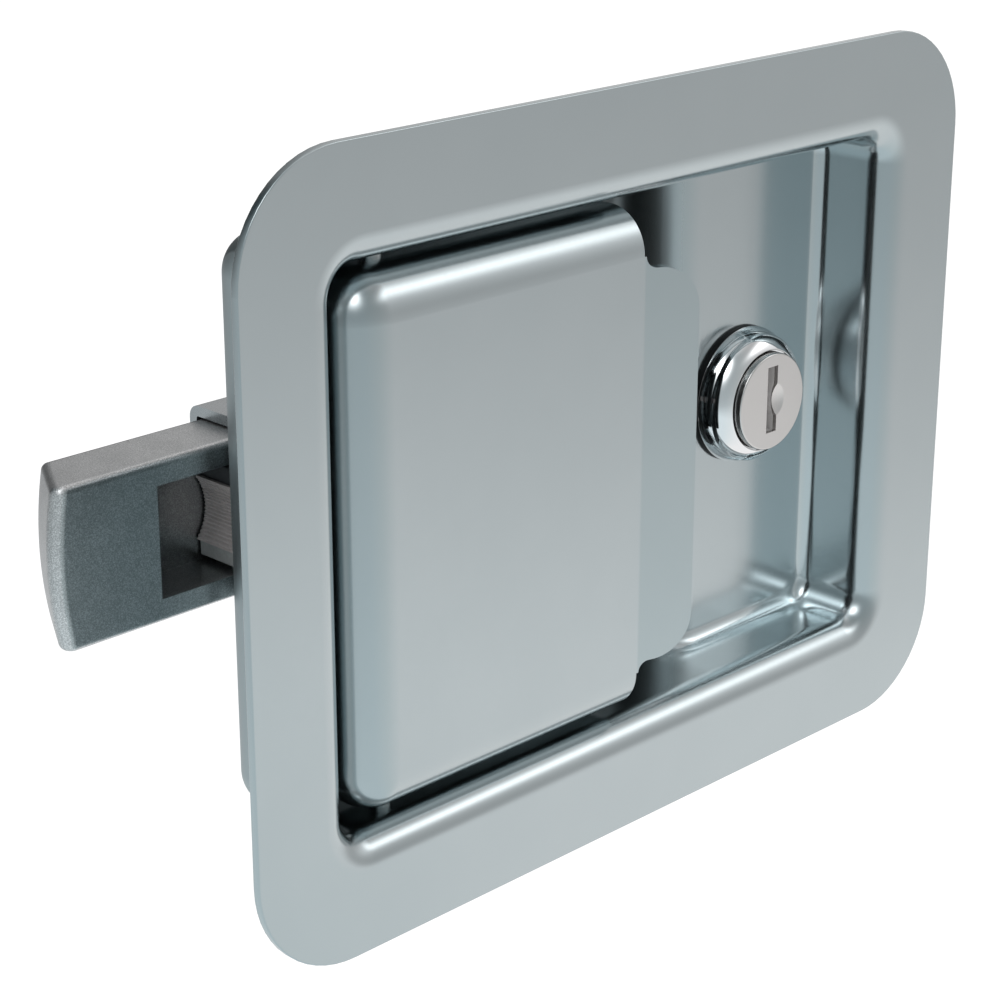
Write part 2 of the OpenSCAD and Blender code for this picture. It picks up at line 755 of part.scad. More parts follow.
// Repeats a piece at every wafer's place along the barrel.
module at_wafers() {
    for (i = [0:wafers - 1]) translate([lock_x, wafer_y + i * wafer_pitch, 0]) children();
}

// Keyway with a round ward standing in from its right side.
module keyway(depth) {
    difference() {
        translate([-keyway_w / 2, 0, -keyway_h / 2]) cube([keyway_w, depth, keyway_h]);
        into_panel(keyway_w / 2 + ward_d / 2 - ward_in, -eps)
            cylinder(h = depth + 2 * eps, r = ward_d / 2, $fn = 48);
    }
}

module lock_plug() {
    barrel_end = housing_end_y + run;
    tail_end = cam_y + cam_t;
    keyway_end = wafer_y + wafers * wafer_pitch;
    color("gainsboro") difference() {
        union() {
            into_panel(lock_x, plug_face_y)
                cylinder(h = plug_edge, r1 = plug_d / 2 - plug_edge, r2 = plug_d / 2, $fn = 96);
            into_panel(lock_x, plug_face_y + plug_edge)
                cylinder(h = head_t - plug_edge, r = plug_d / 2, $fn = 96);
            into_panel(lock_x, barrel_y - lap)
                cylinder(h = barrel_end - barrel_y + lap, r = barrel_d / 2, $fn = 96);
            translate([lock_x - tail_w / 2, barrel_end - lap, -tail_w / 2])
                cube([tail_w, tail_end - barrel_end + lap, tail_w]);
        }
        translate([lock_x, plug_face_y - eps, 0]) keyway(keyway_end - plug_face_y + eps);
        at_wafers() wafer_slot(run);
        into_panel(lock_x, tail_end - screw_l) cylinder(h = screw_l + eps, r = screw_d / 2 + seat, $fn = 32);
    }
}

module lock_wafers() {
    window_w = keyway_w + 3 * slide;
    window_h = keyway_h * 0.6;
    color("goldenrod") at_wafers()
        difference() {
            intersection() {
                wafer_slot(0);
                into_panel(0, -eps) cylinder(h = wafer_t + 2 * eps, r = barrel_d / 2 - slide, $fn = 64);
            }
            translate([-keyway_w / 2, -eps, -window_h / 2]) cube([window_w, wafer_t + 2 * eps, window_h]);
            translate([-wafer_w / 2 - eps, -eps, -barrel_d])
                cube([spring_channel + eps, wafer_t + 2 * eps, barrel_d + wafer_w / 2 - wafer_ledge]);
        }
}

module wafer_springs() {
    wire_r = spring_channel / 10;
    mean_r = spring_channel / 4;
    turns = 5;
    top = wafer_w / 2 - wafer_ledge - wire_r - run;
    bottom = -wafer_w * 0.4;
    color("gray") at_wafers()
        translate([-wafer_w / 2 + spring_channel / 2, wafer_t / 2, bottom])
            coil(mean_r, wire_r, 0, 360 * turns, (top - bottom) / turns, sides = 6, per_turn = 10);
}

module lock_washer() {
    color("silver") into_panel(lock_x, lock_back_y) difference() {
        cylinder(h = lock_washer_t, r = lock_body_d / 2 + lock_washer_wall, $fn = 64);
        translate([0, 0, -eps]) cylinder(h = lock_washer_t + 2 * eps, r = lock_body_d / 2 + seat, $fn = 64);
    }
}

module lock_nut() {
    corner_r = nut_af / sqrt(3);
    color("silver") into_panel(lock_x, lock_back_y + lock_washer_t) difference() {
        intersection() {
            rotate([0, 0, 30]) cylinder(h = nut_t, r = corner_r, $fn = 6);
            cylinder(h = nut_t, r1 = corner_r, r2 = nut_af * 0.525, $fn = 64);
        }
        translate([0, 0, -eps]) cylinder(h = nut_t + 2 * eps, r = lock_body_d / 2 + seat, $fn = 64);
    }
}

module lock_cam() {
    tip_r = cam_arm_w / 2;
    color("silver") into_panel(lock_x, cam_y) linear_extrude(cam_t) difference() {
        union() {
            circle(tail_w / 2 + cam_wall, $fn = 64);
            translate([-tip_r, -cam_reach + tip_r]) square([cam_arm_w, cam_reach - tip_r]);
            translate([0, -cam_reach + tip_r]) circle(tip_r, $fn = 48);
        }
        square(tail_w + 2 * seat, center = true);
    }
}

module cam_washer() {
    color("silver") into_panel(lock_x, cam_y + cam_t) difference() {
        cylinder(h = cam_washer_t, r = tail_w * 0.83, $fn = 48);
        translate([0, 0, -eps]) cylinder(h = cam_washer_t + 2 * eps, r = screw_d / 2 + run, $fn = 48);
    }
}

module cam_screw() {
    head_y = cam_y + cam_t + cam_washer_t;
    edge = screw_head_t * 0.4;
    cross_l = screw_d * 1.1;
    cross_w = screw_d / 4;
    cross_depth = screw_head_t * 0.6;
    color("silver") difference() {
        union() {
            into_panel(lock_x, head_y - screw_l + cam_washer_t)
                cylinder(h = screw_l, r = screw_d / 2, $fn = 32);
            into_panel(lock_x, head_y) cylinder(h = screw_head_t - edge, r = screw_d, $fn = 48);
            into_panel(lock_x, head_y + screw_head_t - edge)
                cylinder(h = edge, r1 = screw_d, r2 = screw_d - edge, $fn = 48);
        }
        translate([lock_x, head_y + screw_head_t, 0]) {
            cube([cross_l, 2 * cross_depth, cross_w], center = true);
            cube([cross_w, 2 * cross_depth, cross_l], center = true);
        }
    }
}

pan();
mounting_studs();
paddle();
paddle_lever();
hinge_pin();
pin_clips();
paddle_spring();
guide_bracket();
bracket_rivets();
bolt();
drive_block();
drive_rod();
bolt_spring();
spring_washer();
lock_housing();
lock_plug();
lock_wafers();
wafer_springs();
lock_washer();
lock_nut();
lock_cam();
cam_washer();
cam_screw();
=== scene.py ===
"""Looks of a flush push-to-close latch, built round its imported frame.

Lengths are in millimetres while a shape is worked out, and every mesh is put down in metres.
X points to the lock, Y into the panel and Z up, as in the frame.
"""

import math

import bmesh
import bpy
import numpy as np
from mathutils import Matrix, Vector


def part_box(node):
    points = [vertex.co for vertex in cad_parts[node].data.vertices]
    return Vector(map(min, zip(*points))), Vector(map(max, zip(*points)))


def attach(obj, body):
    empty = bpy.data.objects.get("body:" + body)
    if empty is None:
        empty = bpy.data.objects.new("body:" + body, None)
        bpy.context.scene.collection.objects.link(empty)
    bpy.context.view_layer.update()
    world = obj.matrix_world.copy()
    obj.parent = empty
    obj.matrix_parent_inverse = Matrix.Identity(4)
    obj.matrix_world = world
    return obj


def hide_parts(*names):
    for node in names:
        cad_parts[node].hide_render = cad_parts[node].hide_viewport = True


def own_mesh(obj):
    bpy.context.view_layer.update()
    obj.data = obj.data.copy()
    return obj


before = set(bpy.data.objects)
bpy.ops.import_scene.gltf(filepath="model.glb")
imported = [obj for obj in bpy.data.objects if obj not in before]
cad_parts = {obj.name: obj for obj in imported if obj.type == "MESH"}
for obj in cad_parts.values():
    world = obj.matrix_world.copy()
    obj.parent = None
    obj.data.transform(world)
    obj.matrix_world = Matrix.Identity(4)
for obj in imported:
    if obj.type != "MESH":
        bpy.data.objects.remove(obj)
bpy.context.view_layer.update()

MM = 0.001
# Grid points closer than this are one point
WELD = 1e-4
# The way into the panel
INTO = np.array([0, 1, 0])
# Width of the narrow strip that keeps a flat flat beside a bend
HUG = 0.06
# Length of the flat on which shares of a flat are worked out
NOMINAL_FLAT = 10.0
# Facets of a quarter round, and of a small one along an edge
BEND_STEPS = 14
EDGE_STEPS = 4
# Steps from end to end of the flange and of the recess's wall
FLAT_STEPS = 6
# Degrees past which an edge is sharp, on most pieces and on threaded ones
SHARP_EDGE = 32
SHARP_THREAD = 40


# Sizes read from the frame


def node_box(name):
    """Lowest and highest corner of a node, in millimetres."""
    low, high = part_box(name)
    return np.array(low) / MM, np.array(high) / MM


PAN_LOW, PAN_HIGH = node_box("pan")
PADDLE_LOW, PADDLE_HIGH = node_box("paddle")
BOLT_LOW, BOLT_HIGH = node_box("bolt")
BLOCK_LOW, BLOCK_HIGH = node_box("drive_block")
HOUSING_LOW, HOUSING_HIGH = node_box("lock_housing")
PLUG_LOW, PLUG_HIGH = node_box("lock_plug")
STUD_LOW, STUD_HIGH = node_box("mounting_studs")
ROD_LOW, ROD_HIGH = node_box("drive_rod")
SPRING_LOW, SPRING_HIGH = node_box("bolt_spring")

# Sizes of the pan
SHEET = -PAN_LOW[1]
FLANGE_X = PAN_HIGH[0]
FLANGE_Z = PAN_HIGH[2]
FLANGE_CORNER = 13.0
FLANGE_EDGE = 0.14
WALL_X = 44.8
WALL_Z = 31.7
RECESS_CORNER = 3.5
RIM_BEND = 3.2
STEP_X = 18.0
DEEP_Y = PAN_HIGH[1] - SHEET
SHALLOW_Y = 11.0
SLOT_X0 = -36.7
SLOT_X1 = -21.76
SLOT_Z = 4.3
# The drawn sheet's two sides: how far each lies behind the front, how far in its walls lie, its step and
# shallow floor, the fillet round its floors, the round lip of its step and the depth of its rim's bend
PAN_FRONT = {
    "back": 0.0, "wall_in": 0.3, "step_x": STEP_X - 1.3, "shelf_y": SHALLOW_Y - 0.95,
    "fillet": 2.0, "lip": 6.0, "bend_deep": 3.7,
}
PAN_BACK = {
    "back": SHEET, "wall_in": 0.0, "step_x": STEP_X, "shelf_y": SHALLOW_Y,
    "fillet": 3.2, "lip": 3.0, "bend_deep": RIM_BEND,
}
# How far to each side of the step the rim's stations are evened out
STEP_REACH = 9.0

# Sizes of the paddle
PADDLE_T = 1.2
PADDLE_ROUND = 5.2
PADDLE_X0 = PADDLE_LOW[0]
PADDLE_X1 = 0.0
PADDLE_Z = PADDLE_HIGH[2]
PADDLE_EDGE_Y = PADDLE_HIGH[1]
LIP_TILT = 20.0
LIP_BEND = 0.8
LIP_LENGTH = 6.85
LIP_HALF = 23.6
LIP_CORNER = 5.2
SHEET_EDGE = 0.3


# Meshes from grids of points


def arc(start, stop, steps=BEND_STEPS):
    """Angles in radians, evenly spaced from start to stop degrees."""
    return np.radians(np.linspace(start, stop, steps + 1))


def around(columns):
    """A row of angles once round, evenly spaced, without the last one that meets the first."""
    return np.linspace(0, 2 * np.pi, columns, endpoint=False)[None]


def flat_run(start, stop, steps):
    """Stations along a flat: even steps, and a narrow one at each end that keeps a bend from tilting it."""
    inner = np.linspace(start, stop, steps + 1)[1:-1]
    narrow = math.copysign(HUG, stop - start)
    return np.concatenate([[start, start + narrow], inner, [stop - narrow, stop]])


def flat_shares(steps):
    """Shares of the way over a flat, from 0 to 1, spaced as the stations along a flat are."""
    return flat_run(0, NOMINAL_FLAT, steps) / NOMINAL_FLAT


def joined(*runs):
    """Runs of stations end to end, each one's first station being the last one's end."""
    return np.concatenate([runs[0]] + [run[1:] for run in runs[1:]])


def points(x, y, z):
    """Points from three arrays that fit together, along a last axis of X, Y and Z."""
    return np.stack(np.broadcast_arrays(x, y, z), -1).astype(float)


def between(first, last, shares):
    """Rows of a grid at the given shares of the way from one line of points to another."""
    share = np.asarray(shares)[:, None, None]
    return first[None] * (1 - share) + last[None] * share


class Shell:
    """Grids of points that become one closed mesh, joined where their edges meet."""

    def __init__(self):
        self.grids = []
        self.quads = []
        self.count = 0

    def add(self, grid, wrap=False, keep=None):
        """Adds a grid; wrap joins its last column to its first, and keep marks the cells that stay."""
        rows, columns = grid.shape[:2]
        row = np.arange(rows - 1)[:, None]
        column = np.arange(columns if wrap else columns - 1)[None]
        after = (column + 1) % columns
        low, high = row * columns, (row + 1) * columns
        quads = np.stack([low + column, low + after, high + after, high + column], -1).reshape(-1, 4)
        if keep is not None:
            quads = quads[keep.ravel()]
        self.grids.append(grid.reshape(-1, 3))
        self.quads.append(quads + self.count)
        self.count += rows * columns

    def mesh(self, name, sharp_angle):
        """The welded mesh: equal points become one, quads that lose a side triangles, and spare points go."""
        every = np.concatenate(self.grids)
        keys = np.round(every / WELD).astype(np.int64)
        _, first, place = np.unique(keys, axis=0, return_index=True, return_inverse=True)
        quads = place.reshape(-1)[np.concatenate(self.quads)]
        same = quads == np.roll(quads, -1, axis=1)
        folded = (quads[:, 0] == quads[:, 2]) | (quads[:, 1] == quads[:, 3]) | (same.sum(1) > 1)
        whole = quads[~same.any(1) & ~folded]
        turned = np.take_along_axis(quads, (same.argmax(1)[:, None] + np.arange(1, 4)) % 4, axis=1)
        threes = turned[same.any(1) & ~folded]
        used, numbers = np.unique(np.concatenate([whole.ravel(), threes.ravel()]), return_inverse=True)
        fours, rest = np.split(numbers.reshape(-1), [whole.size])
        mesh = bpy.data.meshes.new(name)
        faces = fours.reshape(-1, 4).tolist() + rest.reshape(-1, 3).tolist()
        mesh.from_pydata(every[first][used] * MM, [], faces)
        work = bmesh.new()
        work.from_mesh(mesh)
        bmesh.ops.recalc_face_normals(work, faces=work.faces)
        work.to_mesh(mesh)
        work.free()
        mesh.shade_smooth()
        mesh.set_sharp_from_angle(angle=math.radians(sharp_angle))
        return mesh

    def piece(self, name, body, material, slot, *nodes, sharp_angle=SHARP_EDGE):
        """The finished object: it rides on its body, takes its material and stands for its nodes."""
        made = bpy.data.objects.new(name, self.mesh(name, sharp_angle))
        bpy.context.scene.collection.objects.link(made)
        made.data.materials.append(material)
        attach(made, body)
        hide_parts(*nodes)
        return made


# The drawn pan


def floor_line(pan):
    """Section of the stepped floor, left to right: deep flat, fillet, riser, round lip, shallow flat.

    Gives X, Y and the normal into the recess at each station. Both rounds are arcs about their centres.
    """
    low = arc(90, 0)
    high = arc(0, 90)
    fillet_r, lip_r, step_x, shelf_y = pan["fillet"], pan["lip"], pan["step_x"], pan["shelf_y"]
    end_x = WALL_X - RECESS_CORNER
    deep = joined(
        flat_run(-end_x, SLOT_X0, steps=1),
        flat_run(SLOT_X0, SLOT_X1, steps=4),
        flat_run(SLOT_X1, step_x - fillet_r, steps=8),
    )
    shallow = flat_run(step_x + lip_r, end_x, steps=8)
    flat_up = np.stack([0 * deep, 0 * deep - 1], -1)
    shelf_up = np.stack([0 * shallow, 0 * shallow - 1], -1)
    fillet_in = -np.stack([np.cos(low), np.sin(low)], -1)
    lip_out = -np.stack([np.cos(high), np.sin(high)], -1)
    fillet = np.array([step_x - fillet_r, DEEP_Y - fillet_r]) - fillet_r * fillet_in
    lip = np.array([step_x + lip_r, shelf_y + lip_r]) + lip_r * lip_out
    line = np.concatenate([
        np.stack([deep, 0 * deep + DEEP_Y], -1),
        fillet[1:],
        lip,
        np.stack([shallow, 0 * shallow + shelf_y], -1)[1:],
    ])
    inward = np.concatenate([flat_up, fillet_in[1:], lip_out, shelf_up[1:]])
    return line, inward


def rim_places(line):
    """X at the rim above each station: the same, but spread evenly by length over the step."""
    start, stop = STEP_X - STEP_REACH, STEP_X + STEP_REACH
    run = np.concatenate([[0], np.cumsum(np.linalg.norm(np.diff(line, axis=0), axis=1))])
    over = (line[:, 0] > start) & (line[:, 0] < stop)
    ends = run[over][[0, -1]]
    first, last = line[over][[0, -1], 0]
    return np.where(over, first + (last - first) * (run - ends[0]) / (ends[1] - ends[0]), line[:, 0])


def pan_columns(pan):
    """Columns round the recess: each one's rim and flange core, outward way, fillet centre and way down.

    Along the top and bottom they follow the stepped floor, and round the sides the corner arcs.
    """
    line, inward = floor_line(pan)
    rim_x = rim_places(line)
    fillet_r = pan["fillet"]
    core_x, core_z = WALL_X - RECESS_CORNER, WALL_Z - RECESS_CORNER
    wide_x, wide_z = FLANGE_X - FLANGE_CORNER, FLANGE_Z - FLANGE_CORNER
    inset = RECESS_CORNER - fillet_r - pan["wall_in"]
    centre = line + fillet_r * inward
    nil = 0 * rim_x
    top = {
        "rim": points(rim_x, 0, core_z),
        "flange": points(rim_x * wide_x / core_x, 0, wide_z),
        "out": points(nil, 0, nil + 1),
        "centre": points(centre[:, 0], centre[:, 1], core_z + inset),
        "down": points(-inward[:, 0], -inward[:, 1], 0),
    }
    upper, lower = arc(90, 0)[1:], arc(0, -90)[1:-1]
    sides_z = joined(
        flat_run(core_z, SLOT_Z, steps=4),
        flat_run(SLOT_Z, -SLOT_Z, steps=2),
        flat_run(-SLOT_Z, -core_z, steps=4),
    )[1:]
    angle = np.concatenate([upper, 0 * sides_z, lower])
    z = np.concatenate([0 * upper + core_z, sides_z, 0 * lower - core_z])
    out = points(np.cos(angle), 0, np.sin(angle))
    side = {}
    for name, floor_y, way in (("right", pan["shelf_y"], 1), ("left", DEEP_Y, -1)):
        turn = np.array([way, 1, 1])
        core = points(core_x, 0, z)
        part = {
            "rim": core,
            "flange": points(wide_x, 0, z * wide_z / core_z),
            "out": out,
            "centre": core + inset * out + np.array([0, floor_y - fillet_r, 0]),
            "down": points(0 * z, 1, 0),
        }
        side[name] = {key: value * turn for key, value in part.items()}
    below = np.array([1, 1, -1])
    columns = {}
    for key in top:
        columns[key] = np.concatenate(
            [top[key], side["right"][key], top[key][::-1] * below, side["left"][key][::-1]]
        )
    return columns, line, inward, len(side["left"]["rim"])


def pan_side(columns, pan):
    """One side of the sheet from the flange's edge to the floor.

    A column runs along the flange, round the rim's elliptic bend, down the wall and round the fillet.
    """
    back, bend_deep = pan["back"], pan["bend_deep"]
    face = back - SHEET
    bend_y = bend_deep - SHEET
    rim_out = RECESS_CORNER + RIM_BEND
    out = columns["out"]
    edge = arc(0, 90, EDGE_STEPS)
    edge_y = face + math.copysign(FLANGE_EDGE, SHEET / 2 - back) * (1 - np.sin(edge))
    edge_out = FLANGE_CORNER - FLANGE_EDGE * (1 - np.cos(edge))
    edge_rows = columns["flange"] + edge_out[:, None, None] * out + edge_y[:, None, None] * INTO
    rim_start = columns["rim"] + rim_out * out + face * INTO
    flange = between(edge_rows[-1], rim_start, flat_shares(FLAT_STEPS))
    bend = arc(0, 90)[:, None, None]
    bend_r = RIM_BEND - back + pan["wall_in"]
    rim_y = bend_y - (bend_deep - back) * np.cos(bend)
    rim = columns["rim"] + (rim_out - bend_r * np.sin(bend)) * out + rim_y * INTO
    fillet_r = pan["fillet"] + back
    wall = between(rim[-1], columns["centre"] + fillet_r * out, flat_shares(FLAT_STEPS))
    turn = arc(0, 90)[:, None, None]
    fillet = columns["centre"] + fillet_r * (np.cos(turn) * out + np.sin(turn) * columns["down"])
    return np.concatenate([edge_rows, flange[1:], rim[1:], wall[1:], fillet[1:]])


def pan_floor(ring, line, inward, side_count, back):
    """The stepped floor inside the last ring of the wall: the floor's section drawn out along Z."""
    stations = len(line)
    right = ring[stations:stations + side_count]
    left = ring[-side_count:][::-1]
    z = np.concatenate([[ring[0, 2]], right[:, 2], [-ring[0, 2]]])
    section = line - back * inward
    middle = points(section[None, :, 0], section[None, :, 1], z[:, None])
    left_edge = np.concatenate([middle[:1, 0], left, middle[-1:, 0]])
    right_edge = np.concatenate([middle[:1, -1], right, middle[-1:, -1]])
    return np.concatenate([left_edge[:, None], middle, right_edge[:, None]], axis=1)


def make_pan(material):
    """The pan: both sides of its sheet, joined at the flange's edge and round the lever's slot."""
    shell = Shell()
    sides = []
    for pan in (PAN_FRONT, PAN_BACK):
        columns, line, inward, side_count = pan_columns(pan)
        wall = pan_side(columns, pan)
        floor = pan_floor(wall[-1], line, inward, side_count, pan["back"])
        middle = (floor[1:, 1:] + floor[:-1, :-1]) / 2
        in_slot = (middle[..., 0] > SLOT_X0) & (middle[..., 0] < SLOT_X1) & (abs(middle[..., 2]) < SLOT_Z)
        shell.add(wall, wrap=True)
        shell.add(floor, keep=~in_slot)
        sides.append((wall[0], floor))
    shell.add(np.stack([sides[0][0], sides[1][0]]), wrap=True)
    add_slot_walls(shell, sides[0][1], sides[1][1])
    shell.piece("pan_sheet", "frame", material, "pan_steel", "pan")


def add_slot_walls(shell, front, behind):
    """Walls of the lever's slot: each of its four sides joins the front floor to the back one."""
    x, z = front[0, :, 0], front[:, 0, 2]
    across = np.flatnonzero((x > SLOT_X0 - WELD) & (x < SLOT_X1 + WELD))
    along = np.flatnonzero(abs(z) < SLOT_Z + WELD)
    for row in along[[0, -1]]:
        shell.add(np.stack([front[row, across], behind[row, across]]))
    for column in across[[0, -1]]:
        shell.add(np.stack([front[along, column], behind[along, column]]))


# The pull paddle


def paddle_path():
    """Core line of the drawn edge and its outward way: along the top, the left side and the bottom."""
    core_x = PADDLE_X0 + PADDLE_ROUND
    core_z = PADDLE_Z - PADDLE_ROUND
    end_x = PADDLE_X1 - LIP_BEND * math.tan(math.radians(LIP_TILT / 2))
    top_x = flat_run(end_x, core_x, steps=8)
    side_z = flat_run(core_z, -core_z, steps=12)
    turn = arc(90, 180)[1:-1]
    core = np.concatenate([
        points(top_x, 0, core_z), points(core_x + 0 * turn, 0, core_z), points(core_x, 0, side_z),
        points(core_x + 0 * turn, 0, -core_z), points(top_x[::-1], 0, -core_z),
    ])
    nil = 0 * top_x
    out = np.concatenate([
        points(nil, 0, nil + 1), points(np.cos(turn), 0, np.sin(turn)), points(0 * side_z - 1, 0, 0),
        points(np.cos(turn[::-1]), 0, -np.sin(turn[::-1])), points(nil, 0, nil - 1),
    ])
    return core, out, top_x, side_z


def paddle_edge(core, out, inset):
    """Drawn edge from the flat face round the bend to the free rim; inset is how far inside it lies."""
    front = -SHEET
    radius = PADDLE_ROUND - inset
    bend_y = front + PADDLE_ROUND
    bend = arc(0, 90)[:, None, None]
    drawn = core + radius * np.sin(bend) * out + (bend_y - radius * np.cos(bend)) * INTO
    skirt_y = flat_run(bend_y, PADDLE_EDGE_Y - SHEET_EDGE, steps=2)[:, None, None]
    skirt = core + radius * out + skirt_y * INTO
    rim = arc(0, 90, EDGE_STEPS)[:, None, None]
    way = -1 if inset == 0 else 1
    rim_out = radius + way * SHEET_EDGE * (1 - np.cos(rim))
    rim_y = PADDLE_EDGE_Y - SHEET_EDGE * (1 - np.sin(rim))
    return np.concatenate([drawn, skirt[1:], (core + rim_out * out + rim_y * INTO)[1:]])


def lip_outline():
    """Length and half height along the finger lip: concave root, straight edge, round corner at its end."""
    root_half = PADDLE_Z - PADDLE_ROUND
    root = root_half - LIP_HALF
    inner = arc(0, 90, steps=8)
    outer = arc(0, 90, steps=16)
    length = np.concatenate([root * (1 - np.cos(inner)), LIP_LENGTH - LIP_CORNER * (1 - np.sin(outer))])
    half = np.concatenate([root_half - root * np.sin(inner), LIP_HALF - LIP_CORNER * (1 - np.cos(outer))])
    return length, half


def finger_lip(shares, inset):
    """Front or back of the finger lip: heights are shares of the outline, along a short bend and a slope."""
    tilt = math.radians(LIP_TILT)
    start_x = PADDLE_X1 - LIP_BEND * math.tan(tilt / 2)
    turn = arc(0, LIP_TILT, EDGE_STEPS)[:-1]
    radius = LIP_BEND + inset
    bend_x = start_x + radius * np.sin(turn)
    bend_y = -SHEET - LIP_BEND + radius * np.cos(turn)
    length, half = lip_outline()
    end_x = start_x + radius * math.sin(tilt)
    end_y = -SHEET - LIP_BEND + radius * math.cos(tilt)
    x = np.concatenate([bend_x, end_x + length * math.cos(tilt)])
    y = np.concatenate([bend_y, end_y - length * math.sin(tilt)])
    height = np.concatenate([0 * bend_x + half[0], half])
    return points(x[:, None], y[:, None], height[:, None] * shares[None])


def make_paddle(material):
    """The paddle: flat face, drawn edge on three sides and the finger lip, as a sheet with two sides."""
    shell = Shell()
    core, out, top_x, side_z = paddle_path()
    shares = side_z / side_z[0]
    sides = []
    for inset in (0.0, PADDLE_T):
        edge = paddle_edge(core, out, inset)
        lip = finger_lip(shares, inset)
        shell.add(edge)
        shell.add(points(top_x[:, None], inset - SHEET, side_z[None]))
        shell.add(lip)
        sides.append((edge, lip))
    (edge, lip), (edge_back, lip_back) = sides
    shell.add(np.stack([edge[-1], edge_back[-1]]))
    for column in (0, -1):
        shell.add(np.stack([edge[:, column], edge_back[:, column]]))
        shell.add(np.stack([lip[:, column], lip_back[:, column]]))
    shell.add(np.stack([lip[-1], lip_back[-1]]))
    shell.piece("pull_paddle", "paddle", material, "paddle_steel", "paddle")


# The cast bolt and the drive block


# Steps along a bar before, over and behind its pocket, and facets of its upright corners and long edges
BAR_STEPS = (4, 6, 1)
CORNER_STEPS = 10
LONG_EDGE_STEPS = 6


def filled(front, back, low, high):
    """Grid inside four sides: the two blends between facing sides, less the blend of the four corners."""
    u = np.linspace(0, 1, len(front))[None, :, None]
    v = np.linspace(0, 1, len(low))[:, None, None]
    across = (1 - v) * front[None] + v * back[None]
    along = (1 - u) * low[:, None] + u * high[:, None]
    corners = (1 - u) * ((1 - v) * front[0] + v * back[0]) + u * ((1 - v) * front[-1] + v * back[-1])
    return across + along - corners


def cornered(first, first_r, first_turn, last, last_r, last_turn):
    """Line round one corner, along a flat and round the next one, in plan."""
    head = first + first_r * np.stack([np.cos(first_turn), np.sin(first_turn)], -1)
    foot = last + last_r * np.stack([np.cos(last_turn), np.sin(last_turn)], -1)
    share = flat_shares(steps=5)[1:-1, None]
    return np.concatenate([head, head[-1] * (1 - share) + foot[0] * share, foot])


